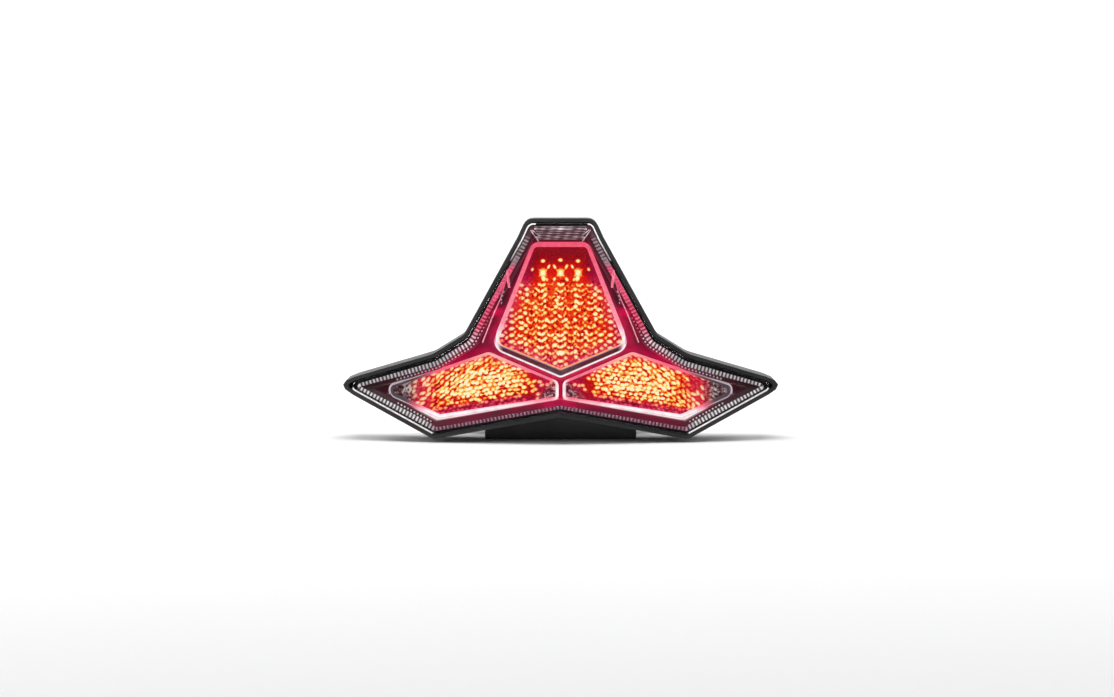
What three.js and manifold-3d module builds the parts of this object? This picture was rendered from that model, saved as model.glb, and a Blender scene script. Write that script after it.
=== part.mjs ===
// Motorcycle tail light: a clear three-lobed lens over three lit pods, in a black housing with a driver
// chamber at its foot.
// Millimetres, +Z up. +X is the vehicle's right, -Y is the rear (the lit side), +Y is forward.
// The origin is the centre of the flat base pad under the driver chamber.
import * as THREE from "three";
import * as BufferGeometryUtils from "three/addons/utils/BufferGeometryUtils.js";
import Module from "manifold-3d";

const wasm = await Module();
wasm.setup();

// ---------------------------------------------------------------- driving dimensions

// The lamp is laid out in its own frame: the apex, where the three facets meet, is at (0, 0, APEX_Z), and
// the lowest corners of the lens are at z = 0. The whole lamp is then moved so that the base pad's centre is
// the origin.
const APEX_Z = 29;
const BASE_DROP = 4.5; // the base pad lies this far below the lens's lowest corners
const CENTRE_TILT = 50; // degrees that the centre facet's normal points up
const WING_TILT = 28; // degrees that a wing facet's normal points up
const WING_SWEEP = 14; // degrees that a wing facet's normal points outwards

// Depths behind the lens's outer surface, along Y.
const LENS_THICK = 3.4;
const POD_TOP = 7;
const LENS_SKIRT = 10;
const SEAL_THICK = 1.4;
const BEZEL_TOP = 12.4;
const BEZEL_THICK = 2;
const FLOOR_TOP = 26; // reflector floor
const BOARD_TOP = 30;
const HOUSING_LIP = 4;
const HOUSING_BACK = 42;
const BACK_WALL = 3.4;

const GAP = 0.3; // clearance between pieces that touch
const LENS_FIT = 0.35; // clearance of the lens in its seat
const OVERLAP = 1; // how far a joined or cutting solid runs past a face
const WALL = 2.4; // wall of the lens skirt and of the driver chamber
const LIP_WIDTH = 2.4; // black lip around the lens
const LEDGE = 2.6; // how far the housing's inner wall lies inside the lens outline
const POD_RIM = 2.8; // wall of a pod lens
const POD_FACE = 1.6;
const BOARD_THICK = 1.6;
const BOARD_INSET = 0.6;
const TRAY_WALL = 1.2;

const CHAMBER = { halfWidth: 40, front: 26, back: 88, top: 58 };
const EAR = { x: 52, z: 17, radius: 12.5, front: 80, thick: 4, hole: 6.4, webOffset: 11.2 };
const CONNECTOR = { x: -16, z: 34, wide: 26, high: 16, length: 16, wall: 2.2, floor: 1.5 };
const CONNECTOR_FLANGE = { halfWide: 17, halfHigh: 12, thick: 2.5 };
const CONNECTOR_NOSE = { wide: 20, high: 10, reach: 8 };
const LATCH = { halfWide: 4, rise: 1.6, end: 12 };
const VENT = { x: 20, z: 40, hole: 3, ring: 6.5, ringWall: 1.5, ringHigh: 2 };
const VENT_CAP = { wall: 1.4, roof: 1.6, notchWide: 2, notchHigh: 1.6, notches: 3 };
const MEMBRANE_THICK = 0.5;
const DRIVER = { halfWidth: 32, front: 46, back: 80, under: 4.4 };
const REGULATOR = { low: [-21, 68], high: [-11, 75], height: 2.4 };
const REGULATOR_TAB = { low: [-20, 74], high: [-12, 77.5], height: 0.9 };
const CAPACITOR = { x: 20, y: 72, radius: 4, height: 10, grooveAt: 8.5, groove: 0.5, crimp: 0.4 };
const INDUCTOR = { x: 12, y: 54, half: 5.5, corner: 1.5, height: 4.5, coreRadius: 4.2, coreHeight: 5.4 };
const PEG = { z: 98.5, radius: 4, length: 13, tip: 2, tipRadius: 2.4 };
const RIBS = { high: 5, half: 1, wings: [58, 74, 90], stem: 9, stemFoot: 66 };
const GUSSET_REACH = 12;
const TRAY_DROP = 0.5; // the tray's rim ends this far behind the pod's face
const WINDOW_REACH = 12;
const LED = { half: 1.75, high: 3.4, base: 1.6, dome: 1.3 };
const SCREW = { head: 2, crown: 1.2, headHigh: 1.5, shank: 0.95, length: 5 };
const SCREW_PILOT = 1.25;
const SCREW_TAB = 3.4;
const BOARD_BOSS = 2.9;
const BOSS_REACH = 16; // a boss runs on until it meets the back wall
const DRIVER_BOSS = 3.5;
const TERMINALS = 4;
const TERMINAL = { pitch: 4.6, wide: 2.3, thick: 0.8, inside: 13, outside: 12 };
const SEAL_INSET = 1;
const GROMMET = { outer: 9, bore: 4.9, flange: 2.2, bevel: 0.8 };
const COLLAR = { outer: 4.6, bore: 3.25, flange: 7.6, flangeThick: 1.4 };
const LEAD_RADIUS = 1.1;
const LEAD_SIDES = 8;
const LEAD_STEPS = 18;

const CORNER_STEPS = 4;
const ROUND_STEPS = 24;
const SMALL_STEPS = 12;
const FAR = 400; // larger than the lamp, for the solids that only cut

// Right half of the lens outline seen from behind, top to bottom: x, z, corner radius.
const LENS_HALF = [
  [17.4, 108.3, 4],
  [21.3, 99.8, 16],
  [49.6, 48.6, 8],
  [66.5, 38.2, 18],
  [114.6, 24, 2.6],
  [66.2, -0.4, 4],
];
const LENS_NOTCH = [0, 11.9, 6];

// Pod outlines seen from behind: x, z, corner radius.
const CENTRE_POD = [
  [-15.4, 98.1, 5.5],
  [15.4, 98.1, 5.5],
  [36.6, 43.9, 6.5],
  [0, 29.2, 3],
  [-36.6, 43.9, 6.5],
];
const RIGHT_POD = [
  [0.9, 27, 3.5],
  [37.9, 41.7, 5],
  [90.9, 23.6, 4],
  [90, 17.2, 4],
  [63.4, 5.3, 5],
  [0.9, 15.9, 3.5],
];

const CENTRE_LEDS = [[-9.5, 84], [0, 84], [9.5, 84], [-14, 60], [0, 60], [14, 60]];
const RIGHT_LEDS = [[18, 22], [35, 24], [52, 22], [68, 19]];
const CENTRE_SCREWS = [[-34.9, 51.5], [34.9, 51.5]];
const RIGHT_SCREWS = [[56, 36.6], [90.6, 21.7]];
const DRIVER_SCREWS = [[-26, 63], [26, 63]];

// ---------------------------------------------------------------- materials

function material(color, roughness, metalness, extra = {}) {
  return new THREE.MeshStandardMaterial({ color, roughness, metalness, ...extra });
}

const MATERIALS = {
  clear: material(0xdfe4e8, 0.08, 0, { transparent: true, opacity: 0.35 }),
  plum: material(0x4a1230, 0.25, 0.3),
  redLens: material(0xd01028, 0.12, 0, { emissive: 0x800010 }),
  reflector: material(0xe04030, 0.2, 0.7),
  led: material(0xffd060, 0.3, 0, { emissive: 0xffa020 }),
  board: material(0x1d5a34, 0.5, 0.1),
  blackPlastic: material(0x17181a, 0.55, 0),
  rubber: material(0x101010, 0.85, 0),
  steel: material(0xa9adb2, 0.35, 1),
  tin: material(0xc9c6bb, 0.35, 1),
  chip: material(0x222326, 0.45, 0),
  lead: material(0x3a0f12, 0.6, 0),
  membrane: material(0xe6e6e2, 0.8, 0),
};

// ---------------------------------------------------------------- facets

function makeFacet(tiltDegrees, sweepDegrees) {
  const tilt = THREE.MathUtils.degToRad(tiltDegrees);
  const sweep = THREE.MathUtils.degToRad(sweepDegrees);
  const normal = new THREE.Vector3(
    Math.cos(tilt) * Math.sin(sweep),
    -Math.cos(tilt) * Math.cos(sweep),
    Math.sin(tilt),
  );
  const right = new THREE.Vector3(0, 0, 1).cross(normal).normalize();
  const up = normal.clone().cross(right);
  return { normal, right, up, slant: -normal.y };
}

const CENTRE = makeFacet(CENTRE_TILT, 0);
const RIGHT = makeFacet(WING_TILT, WING_SWEEP);
const LEFT = makeFacet(WING_TILT, -WING_SWEEP);

// A point of the rear view (x, z), in the facet's own plane.
function onFacet(facet, x, z) {
  const rise = z - APEX_Z;
  const y = -(facet.normal.x * x + facet.normal.z * rise) / facet.normal.y;
  const point = new THREE.Vector3(x, y, rise);
  return new THREE.Vector2(point.dot(facet.right), point.dot(facet.up));
}

// A group whose XY plane is the facet's plane, at a depth along Y behind the lens surface.
function facetGroup(facet, depth = 0) {
  const group = new THREE.Group();
  const basis = new THREE.Matrix4().makeBasis(facet.right, facet.up, facet.normal);
  group.quaternion.setFromRotationMatrix(basis);
  group.position.set(0, depth, APEX_Z);
  return group;
}

// ---------------------------------------------------------------- outlines

function mirrored(corners) {
  return corners.map(([x, z, radius]) => [-x, z, radius]);
}

function lensCorners() {
  return [...LENS_HALF, LENS_NOTCH, ...mirrored(LENS_HALF).reverse()];
}

// Moves every edge of a closed outline outwards by a distance (inwards where it is negative).
function grown(corners, distance) {
  const points = corners.map(([x, y]) => new THREE.Vector2(x, y));
  const turn = THREE.ShapeUtils.area(points) > 0 ? 1 : -1;
  return corners.map(([, , radius], index) => {
    const here = points[index];
    const into = here.clone().sub(points.at(index - 1)).normalize();
    const out = points[(index + 1) % points.length].clone().sub(here).normalize();
    const intoNormal = new THREE.Vector2(into.y, -into.x).multiplyScalar(turn);
    const outNormal = new THREE.Vector2(out.y, -out.x).multiplyScalar(turn);
    const miter = intoNormal.clone().add(outNormal);
    miter.multiplyScalar(distance / (1 + intoNormal.dot(outNormal)));
    const convex = Math.sign(into.cross(out) * turn) || 1;
    return [here.x + miter.x, here.y + miter.y, Math.max(radius + convex * distance, 0.5)];
  });
}

// The share of an edge that the rounding of one of its corners may use.
const MAX_TANGENT = 0.45;

function roundedShape(corners) {
  const shape = new THREE.Shape();
  corners.forEach(([x, y, radius], index) => {
    const here = new THREE.Vector2(x, y);
    const [beforeX, beforeY] = corners.at(index - 1);
    const [afterX, afterY] = corners[(index + 1) % corners.length];
    const before = new THREE.Vector2(beforeX, beforeY).sub(here);
    const after = new THREE.Vector2(afterX, afterY).sub(here);
    const longest = Math.min(before.length(), after.length()) * MAX_TANGENT;
    before.normalize();
    after.normalize();
    const halfAngle = Math.acos(THREE.MathUtils.clamp(before.dot(after), -1, 1)) / 2;
    const tangent = Math.min(radius / Math.tan(halfAngle), longest);
    const start = here.clone().addScaledVector(before, tangent);
    const end = here.clone().addScaledVector(after, tangent);
    if (index === 0) shape.moveTo(start.x, start.y);
    else shape.lineTo(start.x, start.y);
    shape.quadraticCurveTo(here.x, here.y, end.x, end.y);
  });
  shape.closePath();
  return shape;
}

// ---------------------------------------------------------------- solids

function solid(geometry) {
  const plain = geometry.index ? geometry.toNonIndexed() : geometry.clone();
  plain.deleteAttribute("normal");
  plain.deleteAttribute("uv");
  const merged = BufferGeometryUtils.mergeVertices(plain, 1e-4);
  return new wasm.Manifold(
    new wasm.Mesh({
      numProp: 3,
      vertProperties: new Float32Array(merged.attributes.position.array),
      triVerts: new Uint32Array(merged.index.array),
    }),
  );
}

function geometryOf(body) {
  const mesh = body.getMesh();
  const geometry = new THREE.BufferGeometry();
  const positions = new Float32Array(mesh.vertProperties);
  geometry.setAttribute("position", new THREE.BufferAttribute(positions, 3));
  geometry.setIndex(new THREE.BufferAttribute(new Uint32Array(mesh.triVerts), 1));
  geometry.computeVertexNormals();
  return geometry;
}

function extruded(shape, depth, steps = CORNER_STEPS) {
  return new THREE.ExtrudeGeometry(shape, { depth, bevelEnabled: false, curveSegments: steps });
}

function box(wide, deep, high, x, y, z) {
  return solid(new THREE.BoxGeometry(wide, deep, high).translate(x, y, z));
}

// A box from its lowest to its highest corner.
function span(low, high) {
  const size = high.map((value, axis) => value - low[axis]);
  const centre = high.map((value, axis) => (value + low[axis]) / 2);
  return box(...size, ...centre);
}

// A round bar along Y, from one y to the other.
function barAlongY(radius, x, z, fromY, toY, steps = ROUND_STEPS) {
  const geometry = new THREE.CylinderGeometry(radius, radius, toY - fromY, steps);
  return solid(geometry.translate(x, (fromY + toY) / 2, z));
}

function barAlongZ(radius, x, y, fromZ, toZ, steps = ROUND_STEPS) {
  const geometry = new THREE.CylinderGeometry(radius, radius, toZ - fromZ, steps).rotateX(Math.PI / 2);
  return solid(geometry.translate(x, y, (fromZ + toZ) / 2));
}

// A rear-view outline, grown by a distance, as a bar along Y.
function outlineBar(corners, distance) {
  const geometry = extruded(roundedShape(grown(corners, distance)), 2 * FAR);
  return solid(geometry.rotateX(Math.PI / 2).translate(0, FAR, 0));
}

function behindFacet(facet, depth) {
  const geometry = new THREE.BoxGeometry(2 * FAR, 2 * FAR, FAR).translate(0, 0, -FAR / 2);
  const group = facetGroup(facet, depth);
  group.updateMatrix();
  return solid(geometry.applyMatrix4(group.matrix));
}

// Everything behind the three-faceted lens surface, moved forward by a depth.
function nose(depth) {
  const wings = behindFacet(LEFT, depth).intersect(behindFacet(RIGHT, depth));
  return behindFacet(CENTRE, depth).intersect(wings);
}

// The slice of the grown lens outline that lies between two depths behind the lens surface.
function slice(distance, from, to) {
  return outlineBar(lensCorners(), distance).intersect(nose(from)).subtract(nose(to));
}

// The same for a pod's outline, cut by its own facet only.
function podSlice(pod, distance, from, to) {
  const bar = outlineBar(pod.outline, distance);
  return bar.intersect(behindFacet(pod.facet, from)).subtract(behindFacet(pod.facet, to));
}

// A round pin that stands across a pod's LED board, between two heights above the board's face.
function boardPin(pod, [x, z], radius, top, bottom, steps = SMALL_STEPS) {
  const point = onFacet(pod.facet, x, z);
  const geometry = new THREE.CylinderGeometry(radius, radius, top - bottom, steps).rotateX(Math.PI / 2);
  geometry.translate(point.x, point.y, (top + bottom) / 2);
  const group = facetGroup(pod.facet, BOARD_TOP);
  group.updateMatrix();
  return solid(geometry.applyMatrix4(group.matrix));
}

function named(name, geometry, finish) {
  const mesh = new THREE.Mesh(geometry, finish);
  mesh.name = name;
  return mesh;
}

// ---------------------------------------------------------------- pods

const PODS = [
  { side: "centre", facet: CENTRE, outline: CENTRE_POD, leds: CENTRE_LEDS, screws: CENTRE_SCREWS },
  { side: "right", facet: RIGHT, outline: RIGHT_POD, leds: RIGHT_LEDS, screws: RIGHT_SCREWS },
  {
    side: "left",
    facet: LEFT,
    outline: mirrored(RIGHT_POD),
    leds: mirrored(RIGHT_LEDS).map(([x, z]) => [x, z]),
    screws: mirrored(RIGHT_SCREWS).map(([x, z]) => [x, z]),
  },
];

function podLens(pod) {
  const foot = BEZEL_TOP - GAP;
  const face = POD_TOP + POD_FACE / pod.facet.slant;
  const hollow = podSlice(pod, -POD_RIM, face, foot + OVERLAP);
  return geometryOf(podSlice(pod, 0, POD_TOP, foot).subtract(hollow));
}

const TRAY_INSET = POD_RIM + GAP;
// The reflector is an open tray with a window in its floor for each LED.
function reflector(pod) {
  const rim = POD_TOP + (POD_FACE + TRAY_DROP) / pod.facet.slant;
  const tray = podSlice(pod, -TRAY_INSET, rim, FLOOR_TOP + TRAY_WALL / pod.facet.slant);
  const hollow = podSlice(pod, -TRAY_INSET - TRAY_WALL, rim - OVERLAP, FLOOR_TOP);
  const windowRadius = LED.half * Math.SQRT2 + GAP;
  const windows = pod.leds.map((spot) => boardPin(pod, spot, windowRadius, WINDOW_REACH, 0));
  return geometryOf(windows.reduce((body, hole) => body.subtract(hole), tray.subtract(hollow)));
}

function ledBoard(pod) {
  let plate = podSlice(pod, -BOARD_INSET, BOARD_TOP, BOARD_TOP + BOARD_THICK / pod.facet.slant);
  for (const spot of pod.screws) {
    plate = plate.add(boardPin(pod, spot, SCREW_TAB, 0, -BOARD_THICK, ROUND_STEPS));
    plate = plate.subtract(boardPin(pod, spot, SCREW_PILOT, OVERLAP, -BOARD_THICK - OVERLAP));
  }
  return geometryOf(plate);
}

function led() {
  const base = box(2 * LED.half, 2 * LED.half, LED.base, 0, 0, LED.base / 2);
  const neck = LED.high - LED.dome;
  const profile = [new THREE.Vector2(0, LED.base / 2), new THREE.Vector2(LED.dome, LED.base / 2)];
  for (let step = 0; step <= CORNER_STEPS; step += 1) {
    const angle = (step / CORNER_STEPS) * (Math.PI / 2);
    const radius = step === CORNER_STEPS ? 0 : LED.dome * Math.cos(angle);
    profile.push(new THREE.Vector2(radius, neck + LED.dome * Math.sin(angle)));
  }
  const dome = new THREE.LatheGeometry(profile, SMALL_STEPS).rotateX(Math.PI / 2);
  return geometryOf(base.add(solid(dome)));
}

// A pan head screw that stands on z = 0 and points down.
function screw() {
  const { head, crown, headHigh, shank, length } = SCREW;
  const profile = [
    [0, headHigh],
    [crown, headHigh],
    [head, headHigh / 2],
    [head, 0],
    [shank, 0],
    [shank, -length + shank],
    [0, -length],
  ];
  const points = profile.map(([radius, height]) => new THREE.Vector2(radius, height)).reverse();
  return new THREE.LatheGeometry(points, SMALL_STEPS).rotateX(Math.PI / 2);
}

function podPieces(pod) {
  const { side, facet } = pod;
  const onBoard = facetGroup(facet, BOARD_TOP);
  const place = (name, geometry, finish, [x, z]) => {
    const mesh = named(name, geometry, finish);
    const point = onFacet(facet, x, z);
    mesh.position.set(point.x, point.y, GAP);
    onBoard.add(mesh);
  };
  pod.leds.forEach((spot, index) => {
    place(`${side}_led_${index + 1}`, led(), MATERIALS.led, spot);
  });
  pod.screws.forEach((spot, index) => {
    place(`${side}_board_screw_${index + 1}`, screw(), MATERIALS.steel, spot);
  });
  return [
    named(`${side}_pod_lens`, podLens(pod), MATERIALS.redLens),
    named(`${side}_reflector`, reflector(pod), MATERIALS.reflector),
    named(`${side}_led_board`, ledBoard(pod), MATERIALS.board),
    onBoard,
  ];
}

// ---------------------------------------------------------------- lens, seal and bezel

function outerLens() {
  const hollow = slice(-WALL, LENS_THICK, LENS_SKIRT + OVERLAP);
  return geometryOf(slice(0, 0, LENS_SKIRT).subtract(hollow));
}

function lensSeal() {
  const top = LENS_SKIRT + GAP;
  const ring = slice(-GAP, top, top + SEAL_THICK);
  return geometryOf(ring.subtract(outlineBar(lensCorners(), -LEDGE + GAP)));
}

function bezel() {
  let panel = slice(-LEDGE - GAP, BEZEL_TOP, BEZEL_TOP + BEZEL_THICK);
  for (const pod of PODS) {
    panel = panel.subtract(outlineBar(pod.outline, -TRAY_INSET + GAP));
  }
  return geometryOf(panel);
}

// ---------------------------------------------------------------- housing

// The driver chamber, shrunk on every side, and cut back behind the lens.
function chamber(shrink, depth) {
  const { halfWidth, front, back, top } = CHAMBER;
  const low = [-halfWidth + shrink, front + shrink, -BASE_DROP + shrink];
  const high = [halfWidth - shrink, back - shrink, top - shrink];
  return span(low, high).intersect(nose(depth));
}

function ear(sign) {
  const { x, z, radius, front, thick } = EAR;
  const middle = CHAMBER.halfWidth - WALL;
  const plate = barAlongY(radius, sign * x, z, front, front + thick);
  const left = Math.min(sign * middle, sign * x);
  const right = Math.max(sign * middle, sign * x);
  return plate.add(span([left, front, z - radius], [right, front + thick, z + radius]));
}

// A triangular web that stiffens an ear against the chamber's side.
function earGusset(sign, z) {
  const { halfWidth } = CHAMBER;
  const shape = new THREE.Shape();
  shape.moveTo(halfWidth - WALL, EAR.front + OVERLAP);
  shape.lineTo(halfWidth + GUSSET_REACH - WALL, EAR.front + OVERLAP);
  shape.lineTo(halfWidth - WALL, EAR.front - GUSSET_REACH);
  shape.closePath();
  const web = extruded(shape, WALL).translate(0, 0, z - WALL / 2);
  if (sign > 0) return solid(web);
  return solid(web.rotateY(Math.PI).translate(0, 0, 2 * z));
}

// Stiffening ribs stand on the back wall of the wings and of the stem.
function backRibs() {
  const { high, half, wings, stem, stemFoot } = RIBS;
  const layer = slice(0, HOUSING_BACK - OVERLAP, HOUSING_BACK + high);
  const bars = [];
  for (const sign of [-1, 1]) {
    for (const x of wings) {
      bars.push(span([sign * x - half, -FAR, -FAR], [sign * x + half, FAR, FAR]));
    }
    bars.push(span([sign * stem - half, -FAR, stemFoot], [sign * stem + half, FAR, FAR]));
  }
  return bars.reduce((all, bar) => all.add(bar)).intersect(layer);
}

function boardBosses() {
  const top = -BOARD_THICK - GAP;
  const bosses = PODS.flatMap((pod) => pod.screws.map((spot) => {
    const post = boardPin(pod, spot, BOARD_BOSS, top, -BOSS_REACH);
    return post.subtract(boardPin(pod, spot, SCREW_PILOT, top + OVERLAP, -SCREW.length));
  }));
  const inside = slice(0, BEZEL_TOP, HOUSING_BACK - OVERLAP);
  return bosses.reduce((all, boss) => all.add(boss)).intersect(inside);
}

function driverBosses() {
  const floor = -BASE_DROP + WALL;
  const bosses = DRIVER_SCREWS.map(([x, y]) => {
    const post = barAlongZ(DRIVER_BOSS, x, y, floor - OVERLAP, DRIVER.under - GAP, SMALL_STEPS);
    return post.subtract(barAlongZ(SCREW_PILOT, x, y, floor, DRIVER.under, SMALL_STEPS));
  });
  return bosses[0].add(bosses[1]);
}

// The peg at the stem's head locates the lamp in the tail frame.
function topPeg() {
  const { z, radius, length, tip, tipRadius } = PEG;
  const backY = (z - APEX_Z) * Math.tan(THREE.MathUtils.degToRad(CENTRE_TILT)) + HOUSING_BACK;
  const bar = barAlongY(radius, 0, z, backY - BACK_WALL + OVERLAP, backY + length);
  const cone = new THREE.CylinderGeometry(tipRadius, radius, tip, ROUND_STEPS);
  return bar.add(solid(cone.translate(0, backY + length + tip / 2, z)));
}

function rearHousing() {
  const { back } = CHAMBER;
  const lip = slice(LIP_WIDTH, HOUSING_LIP, HOUSING_BACK);
  const lensSeat = slice(LENS_FIT, HOUSING_LIP - OVERLAP, LENS_SKIRT + SEAL_THICK + 2 * GAP);
  const hollow = slice(-LEDGE, HOUSING_LIP - OVERLAP, HOUSING_BACK - BACK_WALL);
  let body = lip.add(chamber(0, BEZEL_TOP + BEZEL_THICK + WALL)).add(backRibs()).add(topPeg());
  body = body.subtract(lensSeat).subtract(hollow).subtract(chamber(WALL, BEZEL_TOP));
  for (const sign of [-1, 1]) {
    body = body.add(ear(sign));
    body = body.add(earGusset(sign, EAR.z - EAR.webOffset)).add(earGusset(sign, EAR.z + EAR.webOffset));
    const holeEnd = EAR.front + EAR.thick + OVERLAP;
    body = body.subtract(barAlongY(EAR.hole, sign * EAR.x, EAR.z, EAR.front - OVERLAP, holeEnd));
  }
  body = body.subtract(chamber(WALL, BEZEL_TOP)).add(boardBosses()).add(driverBosses());
  const { wide, high } = CONNECTOR_NOSE;
  body = body.subtract(box(wide + 2 * GAP, 4 * WALL, high + 2 * GAP, CONNECTOR.x, back, CONNECTOR.z));
  const { x, z, hole, ring: ringRadius, ringWall, ringHigh } = VENT;
  body = body.add(barAlongY(ringRadius, x, z, back - OVERLAP, back + ringHigh));
  body = body.subtract(barAlongY(ringRadius - ringWall, x, z, back, back + ringHigh + OVERLAP));
  body = body.subtract(barAlongY(hole, x, z, back - 2 * WALL, back + OVERLAP));
  return geometryOf(body);
}

// ---------------------------------------------------------------- connector, vent and mounts

// The flange's face against its seal.
const FLANGE_Y = CHAMBER.back + SEAL_THICK + 2 * GAP;

// A block centred on the connector in x and z, between two depths.
function connectorBlock(halfWide, halfHigh, from, to) {
  const { x, z } = CONNECTOR;
  return span([x - halfWide, from, z - halfHigh], [x + halfWide, to, z + halfHigh]);
}

function connectorShell() {
  const { x, z, wide, high, length, wall, floor } = CONNECTOR;
  const { halfWide, halfHigh, thick } = CONNECTOR_FLANGE;
  const nose = CONNECTOR_NOSE;
  const shroudFrom = FLANGE_Y + thick;
  let shell = connectorBlock(nose.wide / 2, nose.high / 2, CHAMBER.back - nose.reach, FLANGE_Y + OVERLAP);
  shell = shell.add(connectorBlock(halfWide, halfHigh, FLANGE_Y, shroudFrom));
  shell = shell.add(connectorBlock(wide / 2, high / 2, FLANGE_Y, shroudFrom + length));
  const socketTo = shroudFrom + length + OVERLAP;
  shell = shell.subtract(connectorBlock(wide / 2 - wall, high / 2 - wall, shroudFrom + floor, socketTo));
  const top = z + high / 2;
  const latchLow = [x - LATCH.halfWide, shroudFrom, top - OVERLAP];
  shell = shell.add(span(latchLow, [x + LATCH.halfWide, FLANGE_Y + LATCH.end, top + LATCH.rise]));
  for (let index = 0; index < TERMINALS; index += 1) {
    shell = shell.subtract(terminalBody(index, GAP));
  }
  return geometryOf(shell);
}

function terminalBody(index, clearance) {
  const x = CONNECTOR.x + (index - (TERMINALS - 1) / 2) * TERMINAL.pitch;
  const halfWide = TERMINAL.wide / 2 + clearance;
  const halfThick = TERMINAL.thick / 2 + clearance;
  return span(
    [x - halfWide, FLANGE_Y - TERMINAL.inside, CONNECTOR.z - halfThick],
    [x + halfWide, FLANGE_Y + TERMINAL.outside, CONNECTOR.z + halfThick],
  );
}

function connectorSeal() {
  const { wide, high } = CONNECTOR_NOSE;
  const { halfWide, halfHigh } = CONNECTOR_FLANGE;
  const from = CHAMBER.back + GAP;
  const to = from + SEAL_THICK;
  const seal = connectorBlock(halfWide - SEAL_INSET, halfHigh - SEAL_INSET, from, to);
  const opening = connectorBlock(wide / 2 + GAP, high / 2 + GAP, from - OVERLAP, to + OVERLAP);
  return geometryOf(seal.subtract(opening));
}

function ventMembrane() {
  const from = CHAMBER.back + GAP;
  const radius = VENT.ring - VENT.ringWall - GAP;
  return geometryOf(barAlongY(radius, VENT.x, VENT.z, from, from + MEMBRANE_THICK));
}

// The cap snaps over the vent ring and lets air in through notches in its skirt.
function ventCap() {
  const { wall, roof, notchWide, notchHigh, notches } = VENT_CAP;
  const inner = VENT.ring + GAP;
  const outer = inner + wall;
  const foot = CHAMBER.back + GAP;
  const roofY = CHAMBER.back + VENT.ringHigh + 2 * GAP;
  let cap = barAlongY(outer, VENT.x, VENT.z, foot, roofY + roof);
  cap = cap.subtract(barAlongY(inner, VENT.x, VENT.z, foot - OVERLAP, roofY));
  const notch = box(notchWide, notchHigh, 2 * outer, 0, foot, outer);
  for (let index = 0; index < notches; index += 1) {
    const angle = (index * 2 * Math.PI) / notches;
    cap = cap.subtract(solid(geometryOf(notch).rotateY(angle).translate(VENT.x, 0, VENT.z)));
  }
  return geometryOf(cap);
}

function ring(profile, sign) {
  const closed = [...profile, profile[0]].map(([radius, height]) => new THREE.Vector2(radius, height));
  const geometry = new THREE.LatheGeometry(closed, ROUND_STEPS);
  return geometryOf(solid(geometry.translate(sign * EAR.x, 0, EAR.z)));
}

function grommet(sign) {
  const { outer, bore, flange, bevel } = GROMMET;
  const front = EAR.front - GAP;
  const back = EAR.front + EAR.thick + GAP;
  const neck = EAR.hole - GAP;
  const profile = [
    [bore, front - flange],
    [outer - bevel, front - flange],
    [outer, front - flange + bevel],
    [outer, front],
    [neck, front],
    [neck, back],
    [outer, back],
    [outer, back + flange - bevel],
    [outer - bevel, back + flange],
    [bore, back + flange],
  ];
  return ring(profile, sign);
}

function collar(sign) {
  const { outer, bore, flange, flangeThick } = COLLAR;
  const start = EAR.front - 2 * GAP - GROMMET.flange;
  const end = EAR.front + EAR.thick + GAP + GROMMET.flange;
  const profile = [
    [bore, start - flangeThick],
    [flange, start - flangeThick],
    [flange, start],
    [outer, start],
    [outer, end],
    [bore, end],
  ];
  return ring(profile, sign);
}

// ---------------------------------------------------------------- driver electronics

const DRIVER_FACE = DRIVER.under + BOARD_THICK;

function driverBoard() {
  const { halfWidth, front, back, under } = DRIVER;
  let board = span([-halfWidth, front, under], [halfWidth, back, DRIVER_FACE]);
  for (const [x, y] of DRIVER_SCREWS) {
    const hole = barAlongZ(SCREW_PILOT, x, y, under - OVERLAP, DRIVER_FACE + OVERLAP, SMALL_STEPS);
    board = board.subtract(hole);
  }
  return geometryOf(board);
}

const CHIP_FOOT = DRIVER_FACE + GAP;

function chipBlock({ low, high, height }) {
  return span([...low, CHIP_FOOT], [...high, CHIP_FOOT + height]);
}

function regulator() {
  return geometryOf(chipBlock(REGULATOR).add(chipBlock(REGULATOR_TAB)));
}

// A can with a groove rolled in near its top.
function capacitor() {
  const { x, y, radius, height, grooveAt, groove, crimp } = CAPACITOR;
  const profile = [
    [0, 0],
    [radius, 0],
    [radius, grooveAt - groove],
    [radius - groove, grooveAt],
    [radius, grooveAt + groove],
    [radius - crimp, height],
    [0, height],
  ];
  const points = profile.map(([across, up]) => new THREE.Vector2(across, up));
  const geometry = new THREE.LatheGeometry(points, ROUND_STEPS).rotateX(Math.PI / 2);
  return geometryOf(solid(geometry.translate(x, y, CHIP_FOOT)));
}

function inductor() {
  const { x, y, half, corner, height, coreRadius, coreHeight } = INDUCTOR;
  const corners = [[-1, -1], [1, -1], [1, 1], [-1, 1]].map(([a, b]) => [a * half, b * half, corner]);
  const block = solid(extruded(roundedShape(corners), height).translate(x, y, CHIP_FOOT));
  return geometryOf(block.add(barAlongZ(coreRadius, x, y, CHIP_FOOT + OVERLAP, CHIP_FOOT + coreHeight)));
}

// ---------------------------------------------------------------- internal leads

// Each lead's route in the lamp's frame, from the driver board up to a pod's board, whose end is added below.
const CENTRE_ROUTE = [[0, 70, CHIP_FOOT], [0, 70, 16], [2, 69, 34], [2, 66, 44]];
const CENTRE_END = [0, 50];
const RIGHT_ROUTE = [[22, 58, CHIP_FOOT], [22, 57, 12], [23, 48, 20]];
const RIGHT_END = [24, 20];
const CONNECTOR_ROUTE = [[-16, 68, 31], [-16, 64, 20], [-16, 62, CHIP_FOOT]];

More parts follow.
